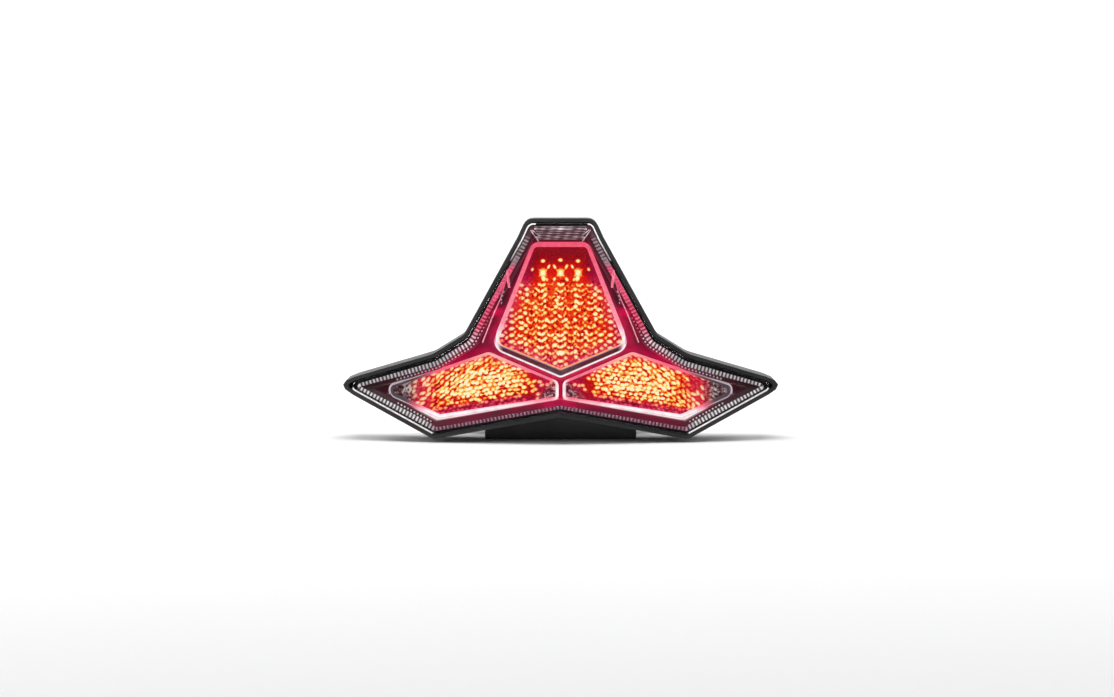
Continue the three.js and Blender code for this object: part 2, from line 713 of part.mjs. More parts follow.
function leadTube(points) {
  const section = new THREE.Shape();
  for (let side = 0; side < LEAD_SIDES; side += 1) {
    const angle = (side / LEAD_SIDES) * 2 * Math.PI;
    const x = LEAD_RADIUS * Math.cos(angle);
    const y = LEAD_RADIUS * Math.sin(angle);
    if (side === 0) section.moveTo(x, y);
    else section.lineTo(x, y);
  }
  section.closePath();
  const route = new THREE.CatmullRomCurve3(points.map((point) => new THREE.Vector3(...point)));
  return new THREE.ExtrudeGeometry(section, { steps: LEAD_STEPS, extrudePath: route, bevelEnabled: false });
}

// Where the back of a pod's board lies in the lamp's frame, with room for a lead's end.
function boardBackPoint(pod, [x, z]) {
  const point = onFacet(pod.facet, x, z);
  const group = facetGroup(pod.facet, BOARD_TOP);
  group.updateMatrix();
  const under = new THREE.Vector3(point.x, point.y, -BOARD_THICK - LEAD_RADIUS - GAP);
  return under.applyMatrix4(group.matrix).toArray();
}

function leads() {
  const [centrePod, rightPod] = PODS;
  const { x, z } = CONNECTOR;
  const right = [...RIGHT_ROUTE, boardBackPoint(rightPod, RIGHT_END)];
  const end = FLANGE_Y - TERMINAL.inside - GAP;
  const routes = {
    lead_centre: [...CENTRE_ROUTE, boardBackPoint(centrePod, CENTRE_END)],
    lead_right: right,
    lead_left: right.map(([across, y, up]) => [-across, y, up]),
    lead_connector: [[x, end, z], ...CONNECTOR_ROUTE],
  };
  return Object.entries(routes).map(([name, points]) => named(name, leadTube(points), MATERIALS.lead));
}

// ---------------------------------------------------------------- assembly

const lamp = new THREE.Group();
lamp.position.set(0, -(CHAMBER.front + CHAMBER.back) / 2, BASE_DROP);
lamp.add(named("outer_lens", outerLens(), MATERIALS.clear));
lamp.add(named("lens_seal", lensSeal(), MATERIALS.rubber));
lamp.add(named("bezel", bezel(), MATERIALS.plum));
lamp.add(named("rear_housing", rearHousing(), MATERIALS.blackPlastic));
for (const pod of PODS) lamp.add(...podPieces(pod));

lamp.add(named("connector_shell", connectorShell(), MATERIALS.blackPlastic));
lamp.add(named("connector_seal", connectorSeal(), MATERIALS.rubber));
for (let index = 0; index < TERMINALS; index += 1) {
  lamp.add(named(`terminal_${index + 1}`, geometryOf(terminalBody(index, 0)), MATERIALS.tin));
}
lamp.add(named("vent_membrane", ventMembrane(), MATERIALS.membrane));
lamp.add(named("vent_cap", ventCap(), MATERIALS.blackPlastic));
for (const [side, sign] of [["left", -1], ["right", 1]]) {
  lamp.add(named(`${side}_grommet`, grommet(sign), MATERIALS.rubber));
  lamp.add(named(`${side}_collar`, collar(sign), MATERIALS.steel));
}

lamp.add(named("driver_board", driverBoard(), MATERIALS.board));
lamp.add(named("regulator", regulator(), MATERIALS.chip));
lamp.add(named("capacitor", capacitor(), MATERIALS.tin));
lamp.add(named("inductor", inductor(), MATERIALS.chip));
DRIVER_SCREWS.forEach(([x, y], index) => {
  const mesh = named(`driver_screw_${index + 1}`, screw(), MATERIALS.steel);
  mesh.position.set(x, y, DRIVER_FACE + GAP);
  lamp.add(mesh);
});
for (const mesh of leads()) lamp.add(mesh);

const model = new THREE.Group();
model.add(lamp);

export default model;
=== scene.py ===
"""Looks of a three-lobed motorcycle tail light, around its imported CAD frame. Metres, +Z up, lit side -Y."""
import math
import random

import bmesh
import bpy
import numpy as np
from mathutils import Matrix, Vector
from mathutils.geometry import delaunay_2d_cdt


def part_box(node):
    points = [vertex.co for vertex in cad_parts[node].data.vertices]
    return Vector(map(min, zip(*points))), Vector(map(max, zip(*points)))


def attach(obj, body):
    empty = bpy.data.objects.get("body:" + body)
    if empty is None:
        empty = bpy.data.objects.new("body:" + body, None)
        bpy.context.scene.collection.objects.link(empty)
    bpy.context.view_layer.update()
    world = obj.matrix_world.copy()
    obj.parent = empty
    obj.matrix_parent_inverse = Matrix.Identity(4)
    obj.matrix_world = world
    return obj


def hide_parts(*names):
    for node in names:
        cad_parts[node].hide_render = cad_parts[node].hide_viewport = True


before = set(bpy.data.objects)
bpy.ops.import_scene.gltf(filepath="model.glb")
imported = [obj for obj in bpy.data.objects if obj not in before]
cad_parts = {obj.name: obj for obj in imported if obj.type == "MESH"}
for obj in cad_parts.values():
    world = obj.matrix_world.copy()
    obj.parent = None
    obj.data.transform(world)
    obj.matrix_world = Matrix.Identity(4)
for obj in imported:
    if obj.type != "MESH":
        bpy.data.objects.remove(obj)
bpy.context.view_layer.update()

# ---- driving dimensions
# Rear-view dimensions are in millimetres: x to the right, z up from the lens's lowest corners. A depth is a
# distance forward (+Y) behind the lens's outer surface. The lamp is symmetrical, so many rules use |x| as x.

MM = 0.001
APEX_Z = 29.0  # height of the point where the three facets meet
LENS_TOP = 108.3
LENS_SKIRT = 10.0
LENS_THICK = 3.0
BAND_DEPTH = 3.3
CURB_DEPTH = 6.4
POD_TOP = 7.0
LATTICE_DEPTH = 10.2
BEZEL_DEPTH = 12.4

CENTRE_SLOPE = math.tan(math.radians(50))
WING_SWEEP_SLOPE = math.tan(math.radians(14))
WING_SLOPE = math.tan(math.radians(28)) / math.cos(math.radians(14))
CREASE_SOFTNESS = 1.2

# Outlines: x, z and corner radius.
LENS_HALF = [
    (17.4, 108.3, 4),
    (21.3, 99.8, 16),
    (49.6, 48.6, 8),
    (66.5, 38.2, 18),
    (114.6, 24, 2.6),
    (66.2, -0.4, 4),
]
LENS_NOTCH = (0, 11.9, 6)
CENTRE_FOOT = [(-15.4, 98.1, 5.5), (15.4, 98.1, 5.5), (36.6, 43.9, 6.5), (0, 29.2, 3), (-36.6, 43.9, 6.5)]
RIGHT_FOOT = [
    (0.9, 27, 3.5),
    (37.9, 41.7, 5),
    (90.9, 23.6, 4),
    (90, 17.2, 4),
    (63.4, 5.3, 5),
    (0.9, 15.9, 3.5),
]
LENS_PITCH = 1.6
POD_PITCH = 1.2

# How far each corner moves from a pod's foot to its top, and then from its frame's inside.
CENTRE_LEAN = [(0, 0), (0, 0), (-0.5, 2.4), (0, 3.4), (0.5, 2.4)]
CENTRE_SPREAD = [(-0.7, 0.3), (0.7, 0.3), (1.3, -1.9), (0, -2.4), (-1.3, -1.9)]
RIGHT_LEAN = [(0.2, 0), (0, 0), (-0.2, 0), (-0.4, 1.2), (0, 2.2), (0.2, 2.0)]
RIGHT_SPREAD = [(-1.3, 1.4), (0, 1.7), (0.8, 1.2), (1.0, -0.5), (0.2, -1.2), (-1.3, -1.2)]
POD_FRAME = 3.0

_, lens_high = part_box("outer_lens")
LAMP_Z = lens_high[2] - LENS_TOP * MM
APEX_Y = lens_high[1] - (CENTRE_SLOPE * (LENS_TOP - APEX_Z) + LENS_SKIRT) * MM

dice = random.Random(11)

# ---- rules over the rear view


def fade(value, start, end):
    """0 up to start, 1 from end on, and straight between them."""
    return np.clip((value - start) / (end - start), 0, 1)


def dimmed(value, share, start, end):
    """1 up to start, less by a share from end on."""
    return 1 - share * fade(value, start, end)


def mound(*spans, power=4):
    """1 where every value is in its span's middle, 0 far away. A span: value, middle and half width."""
    return np.exp(-sum(((value - middle) / half) ** power for value, middle, half in spans))


def blended(share, a, b):
    """Row by row, colour a where share is 0 and colour b where it is 1."""
    share = np.clip(share, 0, 1)[:, None]
    return np.asarray(a) * (1 - share) + np.asarray(b) * share


def tiled(colour, flat):
    return np.tile(colour, (len(flat), 1))


# ---- the three-faceted surface


def centre_surface(x, z):
    return CENTRE_SLOPE * (z - APEX_Z)


def wing_surface(x, z):
    return WING_SWEEP_SLOPE * np.abs(x) + WING_SLOPE * (z - APEX_Z)


def lens_surface(x, z):
    """The facets, with soft creases between them."""
    centre = centre_surface(x, z)
    wing = WING_SWEEP_SLOPE * np.sqrt(x ** 2 + (3 * CREASE_SOFTNESS) ** 2) + WING_SLOPE * (z - APEX_Z)
    return (centre + wing + np.sqrt((centre - wing) ** 2 + CREASE_SOFTNESS ** 2)) / 2


def lifted(points, depth, surface=lens_surface):
    """Rear-view points in millimetres as points in metres, at a depth behind a surface."""
    flat = np.asarray(points, float)
    x, z = flat[:, 0], flat[:, 1]
    y = surface(x, z) + depth
    return np.column_stack([x * MM, APEX_Y + y * MM, LAMP_Z + z * MM])


# ---- outlines


def mirrored(corners):
    return [(-corner[0], *corner[1:]) for corner in reversed(corners)]


def signed_area(points):
    flat = np.asarray([point[:2] for point in points], float)
    after = np.roll(flat, -1, axis=0)
    return float(np.sum(flat[:, 0] * after[:, 1] - after[:, 0] * flat[:, 1])) / 2


def turned(vector, angle):
    cos, sin = math.cos(angle), math.sin(angle)
    return Vector((vector.x * cos - vector.y * sin, vector.x * sin + vector.y * cos))


class Outline:
    """A closed outline with rounded corners. Its rings have the same points however far they are grown."""

    BEND = 7
    MAX_TANGENT = 0.45
    MIN_RADIUS = 0.5

    def __init__(self, corners, pitch=LENS_PITCH, counts=None):
        self.corners = corners
        sharp = [Vector(corner[:2]) for corner in corners]
        after = sharp[1:] + sharp[:1]
        self.counts = counts or [max(2, round((b - a).length / pitch)) for a, b in zip(sharp, after)]

    def leaned(self, leans):
        corners = [(x + dx, z + dz, radius) for (x, z, radius), (dx, dz) in zip(self.corners, leans)]
        return Outline(corners, counts=self.counts)

    def grown(self, distance):
        """The same outline with every edge moved outwards by a distance."""
        turn = 1 if signed_area(self.corners) > 0 else -1
        sharp = [Vector(corner[:2]) for corner in self.corners]
        result = []
        for index, here in enumerate(sharp):
            into = (here - sharp[index - 1]).normalized()
            out = (sharp[(index + 1) % len(sharp)] - here).normalized()
            into_normal = Vector((into.y, -into.x)) * turn
            out_normal = Vector((out.y, -out.x)) * turn
            miter = (into_normal + out_normal) * distance / (1 + into_normal.dot(out_normal))
            convex = 1 if (into.x * out.y - into.y * out.x) * turn > 0 else -1
            radius = max(self.corners[index][2] + convex * distance, self.MIN_RADIUS)
            result.append((here.x + miter.x, here.y + miter.y, radius))
        return Outline(result, counts=self.counts)

    def ring(self, distance=0.0):
        corners = self.grown(distance).corners
        bends = [self._bend(corners, index) for index in range(len(corners))]
        points = []
        for index, bend in enumerate(bends):
            points += bend
            start, end = bend[-1], bends[(index + 1) % len(bends)][0]
            steps = self.counts[index]
            points += [start.lerp(end, step / steps) for step in range(1, steps)]
        return np.array([(point.x, point.y) for point in points])

    def _bend(self, corners, index):
        here = Vector(corners[index][:2])
        before = Vector(corners[index - 1][:2]) - here
        after = Vector(corners[(index + 1) % len(corners)][:2]) - here
        longest = min(before.length, after.length) * self.MAX_TANGENT
        before.normalize()
        after.normalize()
        half = before.angle(after) / 2
        tangent = min(corners[index][2] / math.tan(half), longest)
        centre = here + (before + after).normalized() * tangent / math.cos(half)
        start, end = here + before * tangent - centre, here + after * tangent - centre
        angle = start.angle_signed(end)
        return [centre + turned(start, -angle * step / (self.BEND - 1)) for step in range(self.BEND)]


def pod_outlines(corners, leans, spreads):
    """A pod's three outlines: at its foot, round its top, and inside its frame."""
    foot = Outline(corners, pitch=POD_PITCH)
    top = foot.leaned(leans)
    return foot, top, top.grown(-POD_FRAME).leaned(spreads)


LENS = Outline(LENS_HALF + [LENS_NOTCH] + mirrored(LENS_HALF))
LEFT_CORNERS = [mirrored(corners) for corners in (RIGHT_FOOT, RIGHT_LEAN, RIGHT_SPREAD)]
PODS = {
    "centre": (*pod_outlines(CENTRE_FOOT, CENTRE_LEAN, CENTRE_SPREAD), centre_surface),
    "left": (*pod_outlines(*LEFT_CORNERS), wing_surface),
    "right": (*pod_outlines(RIGHT_FOOT, RIGHT_LEAN, RIGHT_SPREAD), wing_surface),
}


TINY = 1e-12


def inside(points, ring):
    """Which rear-view points lie inside a closed ring."""
    x, z = points[:, 0][:, None], points[:, 1][:, None]
    ax, az = ring[:, 0], ring[:, 1]
    bx, bz = np.roll(ax, -1), np.roll(az, -1)
    spans = (az > z) != (bz > z)
    rise = np.where(bz == az, TINY, bz - az)
    crossing = x < (bx - ax) * (z - az) / rise + ax
    return np.sum(spans & crossing, axis=1) % 2 == 1


def distance_to(points, ring, chunk_size=4000):
    """Each rear-view point's distance to the nearest edge of a closed ring."""
    along = np.roll(ring, -1, axis=0) - ring
    length = np.maximum(np.sum(along ** 2, axis=1), TINY)
    nearest = np.full(len(points), np.inf)
    for chunk in np.array_split(np.arange(len(points)), max(1, len(points) // chunk_size)):
        offset = points[chunk][:, None, :] - ring[None]
        share = np.clip(np.sum(offset * along[None], axis=2) / length, 0, 1)
        gap = offset - share[..., None] * along[None]
        nearest[chunk] = np.sqrt(np.min(np.sum(gap ** 2, axis=2), axis=1))
    return nearest


def square_grid(ring, pitch, shift=0.0, beyond=0.0):
    """A square grid over a ring's box, row by row, and how many points a row has."""
    low, high = ring.min(axis=0) + shift, ring.max(axis=0) + beyond
    xs = np.arange(low[0], high[0], pitch)
    zs = np.arange(low[1], high[1], pitch)
    return np.array([(x, z) for z in zs for x in xs]), len(xs)


# ---- mesh building

WELD = 1e-6
EDGE_CLEAR = 0.55  # how near to an edge a sheet's inner points come, in pitches
SRGB_GAMMA = 2.2
SKIN_SHARPNESS = 1.4
RIDGE_SECTION = [(-1, 0), (-0.85, 0.6), (-0.4, 1), (0.4, 1), (0.85, 0.6), (1, 0)]  # across, up


class Builder:
    """Collects vertices and faces of one piece."""

    def __init__(self):
        self.points = []
        self.faces = []

    def add(self, points, faces):
        start = len(self.points)
        self.points += [tuple(point) for point in points]
        self.faces += [tuple(start + index for index in face) for face in faces]
        return start

    def loft(self, rings, close=False):
        """Joins rings of equal length with quads; close also joins the last ring to the first."""
        count = len(rings[0])
        starts = [self.add(ring, []) for ring in rings]
        pairs = list(zip(starts, starts[1:]))
        if close:
            pairs.append((starts[-1], starts[0]))
        for first, second in pairs:
            for index in range(count):
                after = (index + 1) % count
                self.faces.append((first + index, first + after, second + after, second + index))
        return starts

    def sheet(self, outer, holes, pitch, lift, flip=False):
        """Fills an outline with holes by even triangles, lifted onto a surface."""
        rings = [outer, *holes]
        grid, _ = square_grid(outer, pitch, shift=pitch / 2)
        keep = inside(grid, outer) & (distance_to(grid, outer) > pitch * EDGE_CLEAR)
        for hole in holes:
            keep &= ~inside(grid, hole) & (distance_to(grid, hole) > pitch * EDGE_CLEAR)
        edges = []
        start = 0
        for ring in rings:
            edges += [(start + i, start + (i + 1) % len(ring)) for i in range(len(ring))]
            start += len(ring)
        flat = np.vstack([*rings, grid[keep]])
        found = delaunay_2d_cdt([Vector(point) for point in flat], edges, [], 0, WELD, False)
        vertices = np.array([(point.x, point.y) for point in found[0]])
        middles = np.array([vertices[list(face)].mean(axis=0) for face in found[2]])
        good = inside(middles, outer)
        for hole in holes:
            good &= ~inside(middles, hole)
        faces = [tuple(face) for face, wanted in zip(found[2], good) if wanted]
        if flip:
            faces = [tuple(reversed(face)) for face in faces]
        self.add(lift(vertices), faces)

    def ridge(self, points, half, high, depth):
        """A rounded bar through rear-view points, lying on the facets at a depth."""
        path = np.asarray(points, float)
        ahead = np.gradient(path, axis=0)
        ahead /= np.linalg.norm(ahead, axis=1)[:, None]
        side = np.column_stack([ahead[:, 1], -ahead[:, 0]])
        rows = [lifted(path + side * half * across, depth - high * up) for across, up in RIDGE_SECTION]
        wide = len(RIDGE_SECTION)
        start = self.add([row[index] for index in range(len(path)) for row in rows], [])
        for first in range(start, start + (len(path) - 1) * wide, wide):
            for place in range(wide):
                after = (place + 1) % wide
                self.faces.append((first + place, first + after, first + wide + after, first + wide + place))
        self.faces.append(tuple(start + place for place in range(wide)))
        last = start + (len(path) - 1) * wide
        self.faces.append(tuple(last + place for place in reversed(range(wide))))

    def make(self, name, material, node, slot, smooth, weld=WELD):
        """Makes the piece, which stands for a CAD node and is shaded smooth below an angle in degrees."""
        mesh = bpy.data.meshes.new(name)
        mesh.from_pydata([tuple(map(float, point)) for point in self.points], [], self.faces)
        piece = bpy.data.objects.new(name, mesh)
        bpy.context.scene.collection.objects.link(piece)
        tidy(mesh, weld)
        mesh.materials.append(material)
        mesh.shade_smooth()
        mesh.set_sharp_from_angle(angle=math.radians(smooth))
        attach(piece, "root")
        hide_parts(node)
        return piece


def tidy(mesh, weld):
    """Joins points that meet and turns every face outwards."""
    work = bmesh.new()
    work.from_mesh(mesh)
    if weld:
        bmesh.ops.remove_doubles(work, verts=work.verts, dist=weld)
        bmesh.ops.dissolve_degenerate(work, edges=work.edges, dist=weld)
    bmesh.ops.recalc_face_normals(work, faces=work.faces)
    work.to_mesh(mesh)
    work.free()


def thicken(piece, thickness):
    """Gives an open sheet its thickness, away from the lens."""
    solid = piece.modifiers.new("thickness", "SOLIDIFY")
    solid.thickness = thickness
    solid.offset = -1


def paint(piece, name, values):
    """Stores one number for each vertex, for the material to read."""
    layer = piece.data.attributes.new(name, "FLOAT", "POINT")
    layer.data.foreach_set("value", np.asarray(values, np.float32))


def paint_light(piece, values):
    """Stores one colour for each vertex, given in sRGB from 0 to 1, for the material to read."""
    layer = piece.data.attributes.new("light", "FLOAT_COLOR", "POINT")
    linear = np.clip(np.asarray(values, float), 0, 1) ** SRGB_GAMMA
    solid = np.column_stack([linear, np.ones(len(linear))])
    layer.data.foreach_set("color", solid.astype(np.float32).ravel())


def rear_view(piece):
    """A piece's vertices as rear-view points in millimetres, and their depths from the apex."""
    flat = np.empty(len(piece.data.vertices) * 3)
    piece.data.vertices.foreach_get("co", flat)
    points = flat.reshape(-1, 3)
    seen = np.column_stack([points[:, 0] / MM, (points[:, 2] - LAMP_Z) / MM])
    return seen, (points[:, 1] - APEX_Y) / MM


def paint_skin(piece, surface, thick):
    """Marks the skin that faces out with 1 and the skin behind it with 0."""
    seen, depth = rear_view(piece)
    behind = depth - surface(seen[:, 0], seen[:, 1])
    paint(piece, "skin", np.clip(1 - behind / thick * SKIN_SHARPNESS, 0, 1))


# ---- material helpers

NOISE_LOW = 0.3  # most of a noise's values lie between these two
NOISE_HIGH = 0.7


class Shader:
    """A short way to write a node material."""

    def __init__(self, name):
        self.material = bpy.data.materials.new(name)
        self.material.use_nodes = True
        self.tree = self.material.node_tree
        self.tree.nodes.clear()
        self.output = self.node("ShaderNodeOutputMaterial")

    def node(self, kind, inputs=None, **settings):
        node = self.tree.nodes.new(kind)
        for key, value in settings.items():
            setattr(node, key, value)
        for key, value in (inputs or {}).items():
            self.set(node, key, value)
        return node

    def set(self, node, key, value):
        socket = node.inputs[key]
        if isinstance(value, bpy.types.NodeSocket):
            self.tree.links.new(value, socket)
        else:
            socket.default_value = value

    def surface(self, shader):
        self.tree.links.new(shader.outputs[0], self.output.inputs["Surface"])
        return self.material

    def principled(self, inputs):
        return self.surface(self.node("ShaderNodeBsdfPrincipled", inputs))

    def position(self):
        return self.node("ShaderNodeTexCoord").outputs["Object"]

    def attribute(self, name, output="Fac"):
        return self.node("ShaderNodeAttribute", attribute_name=name).outputs[output]

    def noise(self, scale, detail):
        inputs = {"Vector": self.position(), "Scale": scale, "Detail": detail, "Roughness": 0.5}
        return self.node("ShaderNodeTexNoise", inputs).outputs["Fac"]

    def cloud(self, scale, detail, to_low, to_high):
        """Noise stretched to run between two numbers."""
        return self.remap(self.noise(scale, detail), NOISE_LOW, NOISE_HIGH, to_low, to_high)

    def math(self, operation, a, b=0.0, clamp=False):
        node = self.node("ShaderNodeMath", {0: a, 1: b}, operation=operation, use_clamp=clamp)
        return node.outputs[0]

    def remap(self, value, low, high, to_low=0.0, to_high=1.0):
        inputs = {"Value": value, "From Min": low, "From Max": high, "To Min": to_low, "To Max": to_high}
        return self.node("ShaderNodeMapRange", inputs).outputs[0]

    def ramp(self, value, stops):
        node = self.node("ShaderNodeValToRGB", {"Fac": value})
        elements = node.color_ramp.elements
        for index, (place, colour) in enumerate(stops):
            element = elements[index] if index < 2 else elements.new(place)
            element.position = place
            element.color = (*colour, 1)
        return node.outputs["Color"]

    def mix(self, share, a, b, blend="MIX"):
        node = self.node("ShaderNodeMix", data_type="RGBA", blend_type=blend)
        self.set(node, 0, share)
        self.set(node, 6, a if isinstance(a, bpy.types.NodeSocket) else (*a, 1))
        self.set(node, 7, b if isinstance(b, bpy.types.NodeSocket) else (*b, 1))
        return node.outputs[2]

    def bump(self, height, strength, distance):
        inputs = {"Height": height, "Strength": strength, "Distance": distance}
        return self.node("ShaderNodeBump", inputs).outputs["Normal"]


# ---- materials


def clear_plastic(name, tint, gloss):
    """Clear plastic: see-through, with Schlick's gloss on the skin that faces out."""
    make = Shader(name)
    waves = make.bump(make.noise(60, 2), 0.12, 0.0004)
    facing = make.node("ShaderNodeLayerWeight", {"Blend": 0.5, "Normal": waves}).outputs["Facing"]
    schlick = make.remap(make.math("POWER", facing, 5.0), 0.0, 1.0, 0.04, 1.0)
    share = make.math("MULTIPLY", make.math("MULTIPLY", schlick, make.attribute("skin")), gloss, clamp=True)
    through = make.node("ShaderNodeBsdfTransparent", {"Color": (*tint, 1)})
    mirror = make.node("ShaderNodeBsdfGlossy", {"Color": (1, 1, 1, 1), "Roughness": 0.04, "Normal": waves})
    mixed = make.node("ShaderNodeMixShader", {0: share, 1: through.outputs[0], 2: mirror.outputs[0]})
    return make.surface(mixed)


def lit_plastic(name, cloud, dark, dark_share, roughness, glow):
    """Plastic in the light and shade painted on its points, given off as a painted glow and made uneven by a
    cloud (noise and range).
    """
    make = Shader(name)
    uneven = make.cloud(*cloud)
    grey = make.node("ShaderNodeCombineColor", {"Red": uneven, "Green": uneven, "Blue": uneven}).outputs[0]
    light = make.mix(1.0, make.attribute("light", "Color"), grey, "MULTIPLY")
    inputs = {"Base Color": make.mix(dark_share, light, dark), "Roughness": roughness}
    inputs.update({"Emission Color": light, "Emission Strength": glow})
    return make.principled(inputs)


# Stops of colour ramps, linear, from unlit to fully lit.
PLUM_BASE = [(0, (0.025, 0.016, 0.018)), (0.5, (0.07, 0.004, 0.012)), (1, (0.12, 0.002, 0.02))]
PLUM_LIGHT = [(0, (0.008, 0.004, 0.005)), (0.4, (0.12, 0.001, 0.018)), (1, (0.55, 0.003, 0.055))]
WARM_LIGHT = [
    (0, (0.04, 0.0, 0.006)),
    (0.2, (0.2, 0.0, 0.006)),
    (0.36, (0.62, 0.001, 0.001)),
    (0.5, (0.86, 0.02, 0.001)),
    (0.61, (0.98, 0.24, 0.02)),
    (0.72, (1.0, 0.52, 0.085)),
    (0.84, (1.0, 0.84, 0.26)),
    (1, (1.0, 1.0, 0.62)),
]
COOL_LIGHT = [
    (0, (0.04, 0.0, 0.01)),
    (0.3, (0.42, 0.0, 0.05)),
    (0.6, (0.86, 0.09, 0.16)),
    (1, (1.0, 0.68, 0.48)),
]
SILVER = [(0.1, (0.035, 0.026, 0.03)), (0.6, (0.3, 0.26, 0.28)), (1, (0.95, 0.9, 0.92))]
LED_PHOSPHOR = [(0.35, (1.0, 0.6, 0.15)), (0.65, (1.0, 0.9, 0.5))]


def bezel_plastic():
    """Dark plum gloss that turns crimson where the pods light it."""
    make = Shader("plum_bezel")
    shade = make.math("MULTIPLY", make.attribute("glow"), make.cloud(90, 4, 0.75, 1.2), clamp=True)
    grain = make.bump(make.noise(900, 3), 0.08, 0.0002)
    inputs = {"Base Color": make.ramp(shade, PLUM_BASE), "Roughness": 0.28, "Specular IOR Level": 0.3}
    inputs.update({"Emission Color": make.ramp(shade, PLUM_LIGHT), "Emission Strength": 1.0, "Normal": grain})
    return make.principled(inputs)


def lattice_plastic():
    """The lit lattice: red between cells, orange to pale yellow in them, silver grey with painted glints
    where it is unlit.
    """
    make = Shader("lit_lattice")
    lit = make.attribute("lit")
    level = make.math("ADD", make.attribute("glow"), make.cloud(1100, 2, -0.09, 0.09), clamp=True)
    light = make.mix(make.attribute("edge"), make.ramp(level, WARM_LIGHT), make.ramp(level, COOL_LIGHT))
    # The silver is painted glints: random specks, brighter where the glow is stronger.
    speckle = make.remap(make.noise(650, 3), 0.42, 0.66)
    flecks = make.math("ADD", speckle, make.remap(level, 0.5, 1.4), clamp=True)
    base = make.mix(lit, make.ramp(flecks, SILVER), (0.03, 0.0, 0.002))
    inputs = {"Base Color": base, "Roughness": 0.22, "Specular IOR Level": 0.2}
    inputs.update({"Emission Color": light, "Emission Strength": lit})
    return make.principled(inputs)


def moulded_plastic(name, colour, roughness, grain_scale, grain):
    """Moulded plastic or rubber: fine grain, and slow changes in tone and gloss."""
    make = Shader(name)
    pale = tuple(min(1.0, channel * 1.7 + 0.004) for channel in colour)
    tone = make.mix(make.remap(make.noise(35, 4), 0.3, 0.75), colour, pale)
    rough = make.cloud(140, 3, roughness * 0.85, min(1.0, roughness * 1.15))
    fine = make.bump(make.noise(grain_scale, 2), grain, 0.0003)
    return make.principled({"Base Color": tone, "Roughness": rough, "Normal": fine})


def metal(name, colour, roughness):
    """Bare or plated metal with duller patches and fine scratches."""
    make = Shader(name)
    dull = tuple(channel * 0.75 for channel in colour)
    tone = make.mix(make.remap(make.noise(220, 5), 0.35, 0.7), colour, dull)
    rough = make.cloud(600, 3, roughness * 0.8, roughness * 1.3)
    scratches = make.bump(make.noise(1800, 2), 0.1, 0.0001)
    return make.principled({"Base Color": tone, "Metallic": 1.0, "Roughness": rough, "Normal": scratches})


def board_laminate():
    """Green solder mask with paler copper tracks under it."""
    make = Shader("board_laminate")
    inputs = {"Vector": make.position(), "Scale": 160.0, "Mortar Size": 0.06}
    inputs.update({"Color1": (0.012, 0.09, 0.035, 1), "Color2": (0.016, 0.11, 0.045, 1)})
    inputs["Mortar"] = (0.05, 0.26, 0.12, 1)
    tracks = make.node("ShaderNodeTexBrick", inputs)
    raised = make.bump(tracks.outputs["Fac"], 0.2, 0.0001)
    return make.principled({"Base Color": tracks.outputs["Color"], "Roughness": 0.35, "Normal": raised})


def led_face():
    """The warm phosphor and pale body of an LED package, lit."""
    make = Shader("led_face")
    colour = make.ramp(make.noise(900, 2), LED_PHOSPHOR)
    inputs = {"Base Color": colour, "Roughness": 0.3, "Emission Color": colour, "Emission Strength": 1.0}
    return make.principled(inputs)


CLEAR = clear_plastic("clear_lens", tint=(0.99, 0.99, 0.99), gloss=1.0)
PANE = clear_plastic("pod_pane", tint=(1.0, 0.985, 0.985), gloss=0.35)
RIBS = lit_plastic("lens_ribs", (500, 2, 0.72, 1.12), (0.02, 0.02, 0.02), 0.45, roughness=0.16, glow=0.55)
RIM = lit_plastic("pod_rim", (260, 3, 0.84, 1.12), (0.03, 0.02, 0.025), 0.8, roughness=0.14, glow=0.92)
PLUM = bezel_plastic()
LATTICE = lattice_plastic()
BLACK = moulded_plastic("black_housing", (0.014, 0.014, 0.015), 0.44, 2200, 0.25)
SATIN = moulded_plastic("black_satin", (0.016, 0.016, 0.017), 0.38, 1500, 0.12)
RUBBER = moulded_plastic("rubber", (0.013, 0.013, 0.013), 0.8, 900, 0.3)
JACKET = moulded_plastic("lead_jacket", (0.03, 0.004, 0.005), 0.5, 600, 0.15)
CHIP = moulded_plastic("chip_black", (0.02, 0.02, 0.022), 0.45, 1800, 0.2)
MEMBRANE = moulded_plastic("membrane", (0.6, 0.6, 0.58), 0.85, 2600, 0.4)
STEEL = metal("zinc_steel", (0.62, 0.63, 0.65), 0.28)
TIN = metal("tin", (0.74, 0.72, 0.66), 0.25)
CAN = metal("aluminium_can", (0.7, 0.71, 0.73), 0.3)
BOARD = board_laminate()
LED = led_face()

# ---- outer lens

# The cover's skins: how far in from the outline, and how deep.
COVER_OUTSIDE = [(1.1, 0.0), (0.55, 0.12), (0.18, 0.42), (0.0, 0.95), (0.0, LENS_SKIRT)]
COVER_INSIDE = [(1.9, LENS_SKIRT), (1.9, LENS_THICK + 0.9), (2.2, LENS_THICK + 0.25), (2.9, LENS_THICK)]
COVER_PITCH = 2.6


def outer_lens():
    """The clear cover: rounded outer edge, skirt, and an inner skin."""
    build = Builder()
    build.loft([lifted(LENS.ring(-inset), depth) for inset, depth in COVER_OUTSIDE + COVER_INSIDE])
    build.sheet(LENS.ring(-COVER_OUTSIDE[0][0]), [], COVER_PITCH, lambda flat: lifted(flat, 0.0))
    inner = LENS.ring(-COVER_INSIDE[-1][0])
    build.sheet(inner, [], COVER_PITCH, lambda flat: lifted(flat, LENS_THICK), flip=True)
    piece = build.make("lens_cover", CLEAR, "outer_lens", "clear_lens", smooth=40)
    paint_skin(piece, lens_surface, LENS_THICK)


def lens_piece(build, name, smooth, weld=WELD):
    """A piece moulded on the lens, in the light and shade painted on its points."""
    return build.make(name, RIBS, "outer_lens", "clear_lens", smooth, weld)


